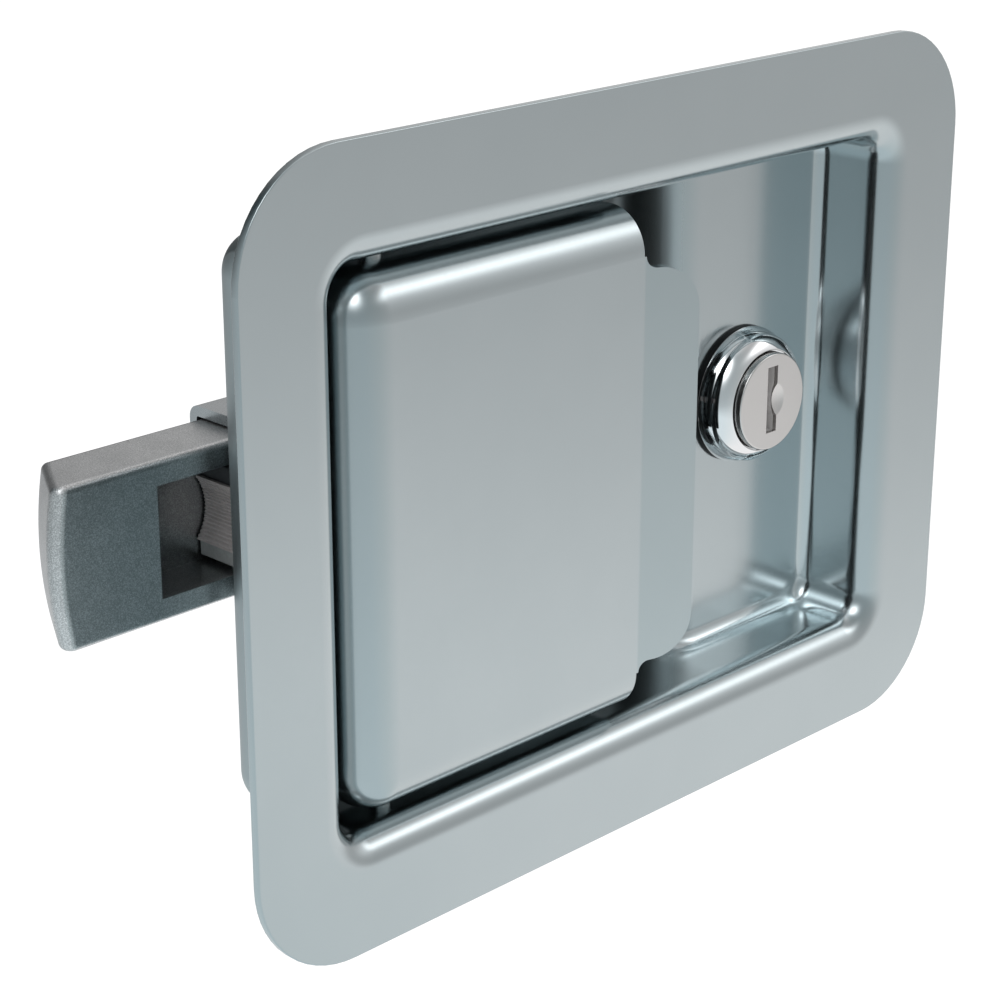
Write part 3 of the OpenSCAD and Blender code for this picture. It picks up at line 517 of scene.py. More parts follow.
class Bar:
    """A bar along X: a plan with a slanted left end, drawn out along Z, with round edges and a front pocket.

    Each row of its grid is the plan at one height, and shift is that height's move of the left end along X.
    The two steps over the height are beside the pocket and over it.
    """

    def __init__(self, low, high, slant, rounds, edge, pocket, shift, z_steps):
        self.low, self.high = low, high
        self.lean = math.atan2(slant, high[1] - low[1])
        self.rounds, self.edge = rounds, edge
        self.pocket, self.shift = pocket, shift
        half, inner = high[2] - edge, pocket["half_z"]
        self.pocket_z = flat_run(-inner, inner, z_steps[1])
        self.z = joined(flat_run(-half, -inner, z_steps[0]), self.pocket_z, flat_run(inner, half, z_steps[0]))
        ends = self.centre(0)[0], pocket["x0"], pocket["x1"], high[0] - edge
        self.x = joined(*map(flat_run, ends[:-1], ends[1:], BAR_STEPS))

    def centre(self, place):
        """Centre of the left end's front or back round, which touches the slanted end and the long face."""
        r = self.rounds[place]
        y = self.low[1] + r if place == 0 else self.high[1] - r
        x = self.low[0] + (r + (y - self.low[1]) * math.sin(self.lean)) / math.cos(self.lean)
        return np.array([x, y])

    def plan(self, inset, z):
        """The plan's four sides at a height, drawn in by inset: front, back, left end and tail."""
        lean = math.degrees(self.lean)
        left = cornered(
            self.centre(0), self.rounds[0] - inset, arc(270, 180 - lean, CORNER_STEPS),
            self.centre(1), self.rounds[1] - inset, arc(180 - lean, 90, CORNER_STEPS),
        )
        r = self.edge
        tail = cornered(
            np.array([self.high[0] - r, self.low[1] + r]), r - inset, arc(270, 360, CORNER_STEPS),
            np.array([self.high[0] - r, self.high[1] - r]), r - inset, arc(0, 90, CORNER_STEPS),
        )
        share = (self.x - self.x[0]) / (self.x[-1] - self.x[0])
        front = np.stack([self.x, 0 * self.x + self.low[1] + inset], -1)
        back_x = left[-1, 0] + share * (tail[-1, 0] - left[-1, 0])
        back = np.stack([back_x, 0 * share + self.high[1] - inset], -1)
        full = max(self.centre(0)[0], self.centre(1)[0])
        sides = []
        for side in (front, back, left, tail):
            weight = np.clip((self.pocket["x0"] - side[:, 0]) / (self.pocket["x0"] - full), 0, 1)
            sides.append(points(side[:, 0] + weight * self.shift(z), side[:, 1], z))
        return sides

    def ring(self, inset, z):
        """The plan as one closed loop: along the front, the tail, the back and the left end."""
        front, back, left, tail = self.plan(inset, z)
        return np.concatenate([front[:-1], tail[:-1], back[::-1][:-1], left[::-1][:-1]])

    def shell(self):
        """The rows from bottom to top, both caps and the pocket."""
        shell = Shell()
        half, edge = self.high[2], self.edge
        turn = arc(0, 90, LONG_EDGE_STEPS)
        low = [self.ring(edge * (1 - math.sin(t)), -half + edge * (1 - math.cos(t))) for t in turn]
        middle = [self.ring(0, z) for z in self.z[1:-1]]
        high = [self.ring(edge * (1 - math.sin(t)), half - edge * (1 - math.cos(t))) for t in turn[::-1]]
        rows = np.stack(low + middle + high)
        centres = (rows[1:] + rows[:-1]) / 2
        centres = (centres + np.roll(centres, -1, axis=1)) / 2
        hole = (abs(centres[..., 2]) < self.pocket["half_z"]) & (centres[..., 1] < self.low[1] + WELD)
        hole &= (centres[..., 0] > self.pocket["x0"]) & (centres[..., 0] < self.pocket["x1"])
        shell.add(rows, wrap=True, keep=~hole)
        for z in (-half, half):
            shell.add(filled(*self.plan(edge, z)))
        self.add_pocket(shell)
        return shell

    def add_pocket(self, shell):
        """Walls and floor of the pocket, on the same stations as the face round it."""
        x0, x1, half = self.pocket["x0"], self.pocket["x1"], self.pocket["half_z"]
        x = self.x[(self.x > x0 - WELD) & (self.x < x1 + WELD)]
        y = flat_run(self.low[1], self.pocket["floor_y"], steps=2)
        for side in (-half, half):
            shell.add(points(x[None], y[:, None], side))
        for end in (x0, x1):
            shell.add(points(end, y[:, None], self.pocket_z[None]))
        shell.add(points(x[None], self.pocket["floor_y"], self.pocket_z[:, None]))


BOLT_SLANT = 4.7
BOLT_CROWN = 1.0
# How far the sharp corner would stand out past the round tip
BOLT_TIP = 0.15
# Rounds at the front and back of the slanted end, round of the long edges, and steps over the height
BOLT_ROUNDS = (1.2, 0.5)
BOLT_EDGE = 0.75
BOLT_STEPS = (6, 24)
BOLT_POCKET = {"x0": -52.7, "x1": -27.95, "half_z": 6.35, "floor_y": BOLT_LOW[1] + 6.4}
BLOCK_ROUND = 0.2
BLOCK_STEPS = (30, 130)
BLOCK_POCKET = {"x0": -37.0, "x1": -31.8, "half_z": 3.8, "floor_y": BLOCK_LOW[1] + 5.6}
HOLLOW_R = 6.0
HOLLOW_DEPTH = 1.3
HOLLOW_HALF = math.sqrt(HOLLOW_R ** 2 - (HOLLOW_R - HOLLOW_DEPTH) ** 2)
# Set-back of the block's flat shoulders above and below the hollow, and the height over which they fall back
SHOULDER_IN = 0.55
SHOULDER_RAMP = 0.1
RIB_PITCH = 0.42
RIB_DEPTH = 0.15


def bolt_crown(z):
    """Set-back of the bolt's left end over its height: an arc."""
    radius = (BOLT_HIGH[2] ** 2 + BOLT_CROWN ** 2) / (2 * BOLT_CROWN)
    return radius - math.sqrt(radius ** 2 - z ** 2)


def block_hollow(z):
    """Set-back of the drive block's left end by height: a round hollow with cosine ribs, flat shoulders."""
    if abs(z) > HOLLOW_HALF:
        return min((abs(z) - HOLLOW_HALF) / SHOULDER_RAMP, 1.0) * SHOULDER_IN
    hollow = math.sqrt(HOLLOW_R ** 2 - z ** 2) - HOLLOW_R + HOLLOW_DEPTH
    return hollow + RIB_DEPTH * (0.5 - 0.5 * math.cos(2 * math.pi * z / RIB_PITCH))


def make_bolt(material):
    """The cast bolt, with a wide round on the front of its slanted end."""
    tip = BOLT_LOW - np.array([BOLT_TIP, 0, 0])
    bar = Bar(tip, BOLT_HIGH, BOLT_SLANT, BOLT_ROUNDS, BOLT_EDGE, BOLT_POCKET, bolt_crown, BOLT_STEPS)
    bar.shell().piece("cast_bolt", "bolt", material, "bolt_casting", "bolt")


def make_block(material):
    """The drive block with its ribbed hollow nose."""
    rounds = (BLOCK_ROUND, BLOCK_ROUND)
    bar = Bar(BLOCK_LOW, BLOCK_HIGH, 0.0, rounds, BLOCK_ROUND, BLOCK_POCKET, block_hollow, BLOCK_STEPS)
    bar.shell().piece("ribbed_drive_block", "drive", material, "block_steel", "drive_block")


# The lock


LOCK_X = (HOUSING_LOW[0] + HOUSING_HIGH[0]) / 2
BEZEL_Y = HOUSING_LOW[1]
BODY_R = 8.0
BODY_FLAT = 7.0
# How much smaller the drawn head is than the solid's, and the play round it, behind it and round its barrel
HEAD_TRIM = 0.07
BORE_GAP = 0.2
HEAD_GAP = 0.1
BARREL_GAP = 0.05
PLUG_R = PLUG_HIGH[0] - LOCK_X - HEAD_TRIM
BORE_R = PLUG_R + BORE_GAP
# Round on the bore's front edge, and how far behind the dome's start the bore's wall begins
BORE_LIP = 0.08
BORE_START = 0.4
# Bezel's dome and base ring: start and radius of each one's arc, and its face's lean from start to end
DOME_START = (PLUG_R + 0.3, BEZEL_Y + 0.55)
DOME_ROUND = 3.47
DOME_LEAN = (25, 60)
GROOVE_IN = 0.12
RING_START = (7.95, 7.9)
RING_ROUND = 3.6
RING_LEAN = (53, 80)
# Depths between which the base's foot under the ring is drawn black, a painted shade
FOOT_Y = (9.4, SHALLOW_Y)
BARREL_R = 5.0
HEAD_LENGTH = 2.1
HEAD_Y = PLUG_LOW[1] + HEAD_LENGTH
THREAD_DEPTH = 0.45
THREAD_PITCH = 1.0
# Rows to a pitch, power that rounds the crests, and pitches over which a thread fades at its ends
THREAD_ROWS = 10
THREAD_ROUND = 0.7
THREAD_FADE = 0.8
HOUSING_COLUMNS = 192


def spun(radius, y, x, columns):
    """Turns a profile of radii and depths, even or not round it, about the axis along Y at the given X."""
    angle = around(columns)
    radius, y = np.reshape(radius, (len(radius), -1)), np.reshape(y, (len(y), -1))
    return points(x + radius * np.cos(angle), y, radius * np.sin(angle))


def thread_rows(radius, start, stop, pitch, depth, columns):
    """Radius and depth of a thread: a cosine groove that climbs one pitch a turn and fades at its ends."""
    y = np.arange(start, stop, pitch / THREAD_ROWS)[:, None]
    turn = np.linspace(0, 1, columns, endpoint=False)[None]
    phase = y / pitch - turn
    groove = (0.5 - 0.5 * np.cos(2 * np.pi * phase)) ** THREAD_ROUND
    fade = np.clip(np.minimum(y - start, stop - y) / (THREAD_FADE * pitch), 0, 1)
    return radius - depth * groove * fade, y + 0 * turn


def leaning_arc(start, radius, lean):
    """Arc in a section whose face leans from one angle to another, measured from the front."""
    turn = arc(*lean, steps=24)
    along = np.sin(turn) - np.sin(turn[0])
    down = np.cos(turn[0]) - np.cos(turn)
    return start[0] + radius * along, start[1] + radius * down


def housing_profile():
    """Radii and depths of the housing's front, from its bore over the dome and the groove to the base's foot.

    The dome and the base ring are arcs that lean back, with a small undercut between them.
    """
    rim = arc(180, 90, steps=6)
    dome_r, dome_y = leaning_arc(DOME_START, DOME_ROUND, DOME_LEAN)
    ring_r, ring_y = leaning_arc(RING_START, RING_ROUND, RING_LEAN)
    lip_r, lip_y = BORE_R + BORE_LIP * (1 + np.cos(rim)), dome_y[0] + BORE_LIP * (1 - np.sin(rim))
    r = np.concatenate([
        [BORE_R, BORE_R], lip_r, dome_r, [dome_r[-1] - GROOVE_IN], ring_r, [ring_r[-1], ring_r[-1]],
    ])
    y = np.concatenate([
        [HEAD_Y + HEAD_GAP, dome_y[0] + BORE_START], lip_y, dome_y, [dome_y[-1] + GROOVE_IN], ring_y,
        [ring_y[-1] + HUG, SHALLOW_Y],
    ])
    return r, y


def make_housing(material):
    """The lock's housing: a turned bezel before the floor and a threaded body with two flats behind it."""
    columns = HOUSING_COLUMNS
    shell = Shell()
    r, y = housing_profile()
    front = spun(r, y, LOCK_X, columns)
    angle = around(columns)
    thread_r, thread_y = thread_rows(BODY_R, SHALLOW_Y, HOUSING_HIGH[1], THREAD_PITCH, THREAD_DEPTH, columns)
    flat_x = np.clip(thread_r * np.cos(angle), -BODY_FLAT, BODY_FLAT)
    body = points(LOCK_X + flat_x, thread_y, thread_r * np.sin(angle))
    bore_r = [BARREL_R + BARREL_GAP, BARREL_R + BARREL_GAP, BORE_R]
    bore = spun(bore_r, [HOUSING_HIGH[1], HEAD_Y + HEAD_GAP, HEAD_Y + HEAD_GAP], LOCK_X, columns)
    shell.add(np.concatenate([front, body, bore]), wrap=True)
    shell.piece(
        "lock_bezel_and_body", "frame", material, "lock_chrome", "lock_housing", sharp_angle=SHARP_THREAD
    )


# Keyway about the plug's axis: left and right side, bottom and top
KEYWAY_X = (-0.99, 0.89)
KEYWAY_Z = (-3.9, 4.55)
KEYWAY_DEPTH = 9.0
# Point of the keyway's bottom where its faces meet, and how far left of the axis its directions are taken
KEYWAY_MIDDLE = (-0.5, KEYWAY_DEPTH, 0.3)
KEYWAY_VIEW = 0.4
# Steps over the keyway's short and long sides, and rows of its walls
KEYWAY_STEPS = (6, 48)
KEYWAY_ROWS = 13
WARD_Z = 0.13
WARD_HALF = 2.07
WARD_IN = 0.55
WARD_R = (WARD_HALF ** 2 + WARD_IN ** 2) / (2 * WARD_IN)
DISH_R = 2.22
DISH_DEPTH = 0.42
DISH_X = 0.035
PLUG_EDGE = 0.22
# Rows of the plug's face, and the power that gathers them towards the keyway
FACE_ROWS = 61
FACE_GATHER = 1.3
TAIL_HALF = 3.0


def keyway_outline():
    """Outline of the keyway: a tall slot whose right side is pushed in by an arc, the ward."""
    (left, right), (low, high) = KEYWAY_X, KEYWAY_Z
    few, many = KEYWAY_STEPS
    sweep = math.degrees(math.asin(WARD_HALF / WARD_R))
    ward = arc(180 + sweep, 180 - sweep, many)
    up, on = flat_run(low, WARD_Z - WARD_HALF, few), flat_run(WARD_Z + WARD_HALF, high, few)
    across, down = flat_run(right, left, few)[1:], flat_run(high, low, many)[1:]
    back = flat_run(left, right, few)[1:-1]
    x = np.concatenate([
        0 * up + right, right + WARD_R - WARD_IN + WARD_R * np.cos(ward)[1:-1], 0 * on + right,
        across, 0 * down + left, back,
    ])
    z = np.concatenate([
        up, WARD_Z + WARD_R * np.sin(ward)[1:-1], on, 0 * across + high, down, 0 * back + low,
    ])
    return points(x, 0, z)


def face_angles(outline):
    """Angle on the plug's edge for each point of the keyway: half by its own direction, half by its run."""
    steps = np.linalg.norm(np.diff(np.concatenate([outline, outline[:1]]), axis=0), axis=1)
    start = math.atan2(outline[0, 2], outline[0, 0])
    own = np.unwrap(np.arctan2(outline[:, 2], outline[:, 0] + KEYWAY_VIEW))
    run = np.concatenate([[0], np.cumsum(steps)[:-1]]) / steps.sum()
    return (start + 2 * np.pi * run + np.maximum.accumulate(own - own[0] + start)) / 2


def make_plug(material):
    """The plug: a face with a keyway and a dished ward, head, barrel, square tail and the keyway's walls.

    The dish falls off with the square of the distance, and the tail is half its side over the larger of an
    angle's sine and cosine.
    """
    shell = Shell()
    outline = keyway_outline()
    angle = face_angles(outline)
    circle = points(np.cos(angle), 0, np.sin(angle))
    face_centre = np.array([LOCK_X, PLUG_LOW[1], 0])
    face = between(outline, (PLUG_R - PLUG_EDGE) * circle, np.linspace(0, 1, FACE_ROWS) ** FACE_GATHER)
    away = np.hypot(face[..., 0] - DISH_X, face[..., 2] - WARD_Z) / DISH_R
    dish = DISH_DEPTH * np.maximum(1 - away ** 2, 0) * (face[..., 0] > 0)
    face = face + dish[..., None] * INTO
    edge = arc(90, 0, steps=6)
    square = TAIL_HALF / np.maximum(abs(np.cos(angle)), abs(np.sin(angle)))
    even = np.ones_like(angle)
    ends = np.repeat([HEAD_Y, HOUSING_HIGH[1], PLUG_HIGH[1]], 2) - PLUG_LOW[1]
    radii = np.concatenate([
        (PLUG_R - PLUG_EDGE + PLUG_EDGE * np.cos(edge))[:, None] * even,
        np.stack([PLUG_R * even, BARREL_R * even, BARREL_R * even, square, square, 0 * even]),
    ])
    depths = np.concatenate([PLUG_EDGE * (1 - np.sin(edge)), ends])
    barrel = radii[..., None] * circle + depths[:, None, None] * INTO
    bottom = outline + KEYWAY_DEPTH * INTO
    middle = np.array(KEYWAY_MIDDLE) + 0 * outline
    walls = np.concatenate([between(face[0], bottom, np.linspace(0, 1, KEYWAY_ROWS)), middle[None]])
    for grid in (face, barrel, walls):
        shell.add(grid + face_centre, wrap=True)
    shell.piece("key_plug", "lock_plug", material, "plug_nickel", "lock_plug")


# Fasteners and springs


STUD_R = 2.0
STUD_CHAMFER = 0.6
# Plain foot under the thread, and the thread's pitch and depth
STUD_FOOT = 1.2
STUD_PITCH = 0.7
STUD_THREAD = 0.38
STUD_COLUMNS = 48


def make_studs(material):
    """Four threaded weld studs on the back of the flange."""
    columns = STUD_COLUMNS
    shell = Shell()
    tip = STUD_HIGH[1] - STUD_CHAMFER
    r, y = thread_rows(STUD_R, STUD_FOOT, tip, STUD_PITCH, STUD_THREAD, columns)
    thread = spun(r, y, 0, columns)
    foot = spun([0, STUD_R, STUD_R], [0, 0, STUD_FOOT], 0, columns)
    end = spun([STUD_R, STUD_R - STUD_CHAMFER, 0], [tip, STUD_HIGH[1], STUD_HIGH[1]], 0, columns)
    stud = np.concatenate([foot, thread, end])
    for x in (STUD_LOW[0] + STUD_R, STUD_HIGH[0] - STUD_R):
        for z in (STUD_LOW[2] + STUD_R, STUD_HIGH[2] - STUD_R):
            shell.add(stud + np.array([x, 0, z]), wrap=True)
    shell.piece(
        "threaded_studs", "frame", material, "fastener_steel", "mounting_studs", sharp_angle=SHARP_THREAD
    )


# A way that no wire runs along, facets round a wire, and points along each half turn of a spring
WIRE_GUIDE = (0.31, 0.52, 0.79)
WIRE_SIDES = 14
WIRE_STEPS = 20


def tube(path, radius):
    """A wire along a path: a circle carried square to the path, its ends closed to a point.

    The circle's two ways are the run crossed with a guide, and the run crossed with that.
    """
    run = np.gradient(path, axis=0)
    run /= np.linalg.norm(run, axis=1, keepdims=True)
    side = np.cross(run, WIRE_GUIDE)
    side /= np.linalg.norm(side, axis=1, keepdims=True)
    other = np.cross(run, side)
    angle = around(WIRE_SIDES)[..., None]
    ring = np.cos(angle) * side[:, None] + np.sin(angle) * other[:, None]
    body = path[:, None] + radius * ring
    first, last = path[:1, None] + 0 * body[:1], path[-1:, None] + 0 * body[-1:]
    return np.concatenate([first, body, last])


BOLT_WIRE = 0.8
BOLT_TURNS = 11
# How far the bolt slams on the drive, and the drive slides on the frame
SLAM_TRAVEL = 9.0
DRIVE_TRAVEL = 9.8


def make_bolt_spring(material):
    """The bolt spring: a helix round the drive rod, in two halves that meet at mid length.

    The left half goes with the drive, and the right half stands on the frame.
    """
    rod_y = (ROD_LOW[1] + ROD_HIGH[1]) / 2
    mean_r = (SPRING_HIGH[2] - SPRING_LOW[2]) / 2 - BOLT_WIRE / 2
    x0, x1 = SPRING_LOW[0] + BOLT_WIRE / 2, SPRING_HIGH[0] - BOLT_WIRE / 2
    middle = (x0 + x1) / 2
    halves = (
        ("bolt_spring_near", "drive", (), 0.0, "bolt_slam", middle, SLAM_TRAVEL),
        ("bolt_spring_wire", "frame", ("bolt_spring",), 0.5, "drive_slide", SPRING_HIGH[0], DRIVE_TRAVEL),
    )
    for name, body, nodes, first, joint, anchor_x, travel in halves:
        share = np.linspace(first, first + 0.5, BOLT_TURNS * WIRE_STEPS + 1)
        angle = 2 * np.pi * BOLT_TURNS * share
        path = points(x0 + (x1 - x0) * share, rod_y + mean_r * np.sin(angle), mean_r * np.cos(angle))
        shell = Shell()
        shell.add(tube(path, BOLT_WIRE / 2), wrap=True)
        made = shell.piece(name, body, material, "spring_steel", *nodes)
        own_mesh(made)


# Materials


def node(tree, kind, **sockets):
    """A new node with its inputs set by name."""
    made = tree.nodes.new(kind)
    for key, value in sockets.items():
        made.inputs[key.replace("_", " ")].default_value = value
    return made


def ramp(tree, factor, stops):
    """Colour from a ramp of (place, colour) stops."""
    made = tree.nodes.new("ShaderNodeValToRGB")
    elements = made.color_ramp.elements
    while len(elements) < len(stops):
        elements.new(0.5)
    for element, (place, colour) in zip(elements, stops):
        element.position = place
        element.color = (*colour, 1.0)
    tree.links.new(factor, made.inputs["Fac"])
    return made.outputs["Color"]


def spread(tree, value, low, high, low_out, high_out):
    """Maps one range of a value to another."""
    made = node(tree, "ShaderNodeMapRange", From_Min=low, From_Max=high, To_Min=low_out, To_Max=high_out)
    tree.links.new(value, made.inputs["Value"])
    return made.outputs["Result"]


def maths(tree, operation, first, second=0.0):
    """A maths node's result; each of its inputs is a number or another node's output."""
    made = tree.nodes.new("ShaderNodeMath")
    made.operation = operation
    for socket, value in zip(made.inputs, (first, second)):
        if isinstance(value, (int, float)):
            socket.default_value = value
        else:
            tree.links.new(value, socket)
    return made.outputs["Value"]


def vectors(tree, operation, first, second, place=1):
    """A vector maths node's result from two other nodes' outputs; place is the second one's input."""
    made = tree.nodes.new("ShaderNodeVectorMath")
    made.operation = operation
    tree.links.new(first, made.inputs[0])
    tree.links.new(second, made.inputs[place])
    return made.outputs["Vector"]


# Range that holds most of a noise's values, detail of its clouds and of its specks, and its own roughness
NOISE_SPAN = (0.3, 0.7)
CLOUD_DETAIL = 4.0
SPECK_DETAIL = 2.0
NOISE_ROUGH = 0.6


class Metal:
    """Metal: a mottled colour, a roughness that varies with a fine grain, and the grain as bump."""

    def __init__(self, name):
        self.material = bpy.data.materials.new(name)
        self.material.use_nodes = True
        self.tree = self.material.node_tree
        self.shader = self.tree.nodes["Principled BSDF"]
        self.shader.inputs["Metallic"].default_value = 1.0
        self.place = self.tree.nodes.new("ShaderNodeTexCoord").outputs["Object"]

    def noise(self, scale, detail):
        """Noise over the object, in grains per metre."""
        made = node(self.tree, "ShaderNodeTexNoise", Scale=scale, Detail=detail, Roughness=NOISE_ROUGH)
        self.tree.links.new(self.place, made.inputs["Vector"])
        return made.outputs["Fac"]

    def finish(self, dark, light, rough, mottle, grain, bump, fine=0.0, stops=NOISE_SPAN):
        """Sets colour, roughness and bump; fine is the share of the colour that follows the grain.

        The colour goes from dark to light between the two stops of that blend.
        """
        cloud, speck = self.noise(mottle, CLOUD_DETAIL), self.noise(grain, SPECK_DETAIL)
        coarse = maths(self.tree, "MULTIPLY", cloud, 1 - fine)
        blend = maths(self.tree, "ADD", coarse, maths(self.tree, "MULTIPLY", speck, fine))
        colour = ramp(self.tree, blend, list(zip(stops, (dark, light))))
        self.tree.links.new(colour, self.shader.inputs["Base Color"])
        self.tree.links.new(spread(self.tree, speck, *NOISE_SPAN, *rough), self.shader.inputs["Roughness"])
        lift = node(self.tree, "ShaderNodeBump", Strength=1.0, Distance=bump)
        self.tree.links.new(speck, lift.inputs["Height"])
        self.tree.links.new(lift.outputs["Normal"], self.shader.inputs["Normal"])
        return self

    def layer(self, ranges, fade, **values):
        """Other values inside ranges along the object's axes, in millimetres, that fade in and out.

        A range's third number is its own length for fading in.
        """
        split = self.tree.nodes.new("ShaderNodeSeparateXYZ")
        self.tree.links.new(self.place, split.inputs["Vector"])
        share = 1.0
        for axis, (low, high, *own) in ranges.items():
            along = split.outputs[axis]
            rise = spread(self.tree, along, low * MM, (low + (own or [fade])[0]) * MM, 0.0, 1.0)
            fall = spread(self.tree, along, high * MM, (high + fade) * MM, 1.0, 0.0)
            share = maths(self.tree, "MULTIPLY", maths(self.tree, "MULTIPLY", rise, fall), share)
        for name, value in values.items():
            self.change(name.replace("_", " "), value, share)
        return self

    def change(self, name, value, share):
        """Blends an input of the shader by a share: a number to a value, a colour to its product with one."""
        socket = self.shader.inputs[name]
        mix = self.tree.nodes.new("ShaderNodeMix")
        mix.data_type = "RGBA" if name == "Base Color" else "FLOAT"
        mix.blend_type = "MULTIPLY"
        factor, outer, other = [s for s in mix.inputs if s.enabled]
        self.tree.links.new(share, factor)
        other.default_value = (*value, 1.0) if name == "Base Color" else value
        if socket.is_linked:
            self.tree.links.new(socket.links[0].from_socket, outer)
        else:
            outer.default_value = socket.default_value
        self.tree.links.new([s for s in mix.outputs if s.enabled][0], socket)


# Past every side of the part
FAR = 200.0
# Where a finish changes or light and shade are painted, as ranges in millimetres: from, to and sometimes the
# length of fading in
LOW_PAN = {"Y": (SHALLOW_Y - 0.7, FAR)}
# Painted shade: the plating is drawn at about half its brightness over the pan's deep half
PAINTED_SHADE_DEEP_HALF = {
    "X": (-WALL_X - 0.2, STEP_X - 0.2),
    "Y": (SHALLOW_Y, DEEP_Y + 0.1, 4.0),
    "Z": (-WALL_Z - 0.2, WALL_Z),
}
# Painted light: the bottom wall of the shallow half is drawn 1.28 times as bright
PAINTED_LIGHT_SHALLOW_BOTTOM_WALL = {
    "X": (STEP_X - 3.0, WALL_X, 3.0),
    "Y": (1.5, SHALLOW_Y - 1.2),
    "Z": (-WALL_Z - 0.5, -WALL_Z + 1.0, 0.5),
}
# Painted light: the sheet beside the lock is drawn 1.1 times as bright
PAINTED_LIGHT_BESIDE_LOCK = {
    "X": (WALL_X - 13.0, WALL_X + 0.2, 2.0),
    "Y": (1.5, SHALLOW_Y - 0.5, 1.5),
    "Z": (-WALL_Z, WALL_Z),
}
# Painted shade: the bolt's front face is drawn darker and cooler
PAINTED_SHADE_BOLT_FACE = {"Y": (-FAR, BOLT_LOW[1] + 0.05)}
# Painted highlight: all but the front edges is drawn darker, so those edges read as lit
BOLT_DIMMED_BEHIND_EDGE_HIGHLIGHT = {"Y": (BOLT_LOW[1] + 0.6, FAR)}
# Painted shade: the inside of the bolt's pocket is drawn darker
PAINTED_SHADE_IN_BOLT_POCKET = {
    "X": (BOLT_POCKET["x0"] - 0.1, FAR),
    "Y": (BOLT_LOW[1] + 0.1, BOLT_POCKET["floor_y"] + 0.1),
    "Z": (-BOLT_POCKET["half_z"] - 0.15, BOLT_POCKET["half_z"] - 0.05),
}
# Painted shade: the block is drawn darker and cooler below its hollow
PAINTED_SHADE_BELOW_HOLLOW = {"Z": (-FAR, -HOLLOW_HALF - 0.1)}
# Painted shade: the block is drawn nearly black above its hollow
PAINTED_SHADE_ABOVE_HOLLOW = {"Z": (HOLLOW_HALF, FAR)}
# Painted shade: the base's foot under the ring is drawn black and dull
PAINTED_SHADE_BEZEL_FOOT = {"Y": FOOT_Y}
IN_KEYWAY = {"X": (LOCK_X - 3, LOCK_X + 3), "Y": (PLUG_LOW[1] + 0.5, FAR), "Z": (-5, 5)}
# What the pan and the paddle share
ZINC = {
    "dark": (0.475, 0.526, 0.541), "light": (0.49, 0.54, 0.555), "rough": (0.17, 0.21),
    "grain": 2600.0, "bump": 0.000001,
}

PAN_STEEL = Metal("zinc_plated_sheet").finish(mottle=60.0, **ZINC)
PAN_STEEL.layer(LOW_PAN, fade=2.0, Roughness=0.5)
# Painted shade over the deep half
PAN_STEEL.layer(PAINTED_SHADE_DEEP_HALF, fade=0.2, Base_Color=(0.52, 0.52, 0.52))
# Painted light on the shallow half's bottom wall
PAN_STEEL.layer(PAINTED_LIGHT_SHALLOW_BOTTOM_WALL, fade=1.5, Base_Color=(1.28, 1.28, 1.28))
# Painted light beside the lock
PAN_STEEL.layer(PAINTED_LIGHT_BESIDE_LOCK, fade=0.3, Base_Color=(1.1, 1.1, 1.1))
PADDLE_STEEL = Metal("zinc_plated_paddle").finish(mottle=70.0, **ZINC)
BOLT_CASTING = Metal("tumbled_casting").finish(
    dark=(0.48, 0.485, 0.49), light=(1.0, 1.0, 1.0), rough=(0.28, 0.40),
    mottle=300.0, grain=7200.0, bump=0.000016, fine=0.85, stops=(0.42, 0.74))
# Painted shade on the bolt's front face
BOLT_CASTING.layer(PAINTED_SHADE_BOLT_FACE, fade=0.1, Base_Color=(0.7, 0.755, 0.765))
# Painted highlight on the bolt's front edges, by dimming the rest
BOLT_CASTING.layer(BOLT_DIMMED_BEHIND_EDGE_HIGHLIGHT, fade=0.15, Base_Color=(0.87, 0.87, 0.87))
# Painted shade in the bolt's pocket
BOLT_CASTING.layer(PAINTED_SHADE_IN_BOLT_POCKET, fade=0.2, Base_Color=(0.6, 0.63, 0.64))
BLOCK_STEEL = Metal("sintered_block").finish(
    dark=(0.53, 0.495, 0.49), light=(0.70, 0.66, 0.655), rough=(0.30, 0.42),
    mottle=300.0, grain=3200.0, bump=0.000008, fine=0.5)
BLOCK_STEEL.shader.inputs["Metallic"].default_value = 0.5
# Painted shade below the hollow
BLOCK_STEEL.layer(PAINTED_SHADE_BELOW_HOLLOW, fade=0.1, Base_Color=(0.8, 0.9, 0.91))
# Painted shade above the hollow
BLOCK_STEEL.layer(PAINTED_SHADE_ABOVE_HOLLOW, fade=0.1, Base_Color=(0.09, 0.105, 0.115))
BRACKET_STEEL = Metal("plain_bracket_steel").finish(
    dark=(0.45, 0.465, 0.475), light=(0.50, 0.52, 0.53), rough=(0.24, 0.32),
    mottle=220.0, grain=3000.0, bump=0.000005, fine=0.4)
FASTENER_STEEL = Metal("bright_fastener_steel").finish(
    dark=(0.54, 0.55, 0.55), light=(0.62, 0.63, 0.62), rough=(0.18, 0.28),
    mottle=240.0, grain=2600.0, bump=0.000003, fine=0.3)
SPRING_STEEL = Metal("drawn_spring_wire").finish(
    dark=(0.36, 0.37, 0.38), light=(0.44, 0.45, 0.46), rough=(0.20, 0.30),
    mottle=300.0, grain=3000.0, bump=0.000003, fine=0.3)
LOCK_CHROME = Metal("polished_chrome").finish(
    dark=(0.80, 0.81, 0.82), light=(0.83, 0.84, 0.85), rough=(0.05, 0.08),
    mottle=120.0, grain=900.0, bump=0.0000002)
LOCK_CHROME.shader.inputs["Specular IOR Level"].default_value = 0.1
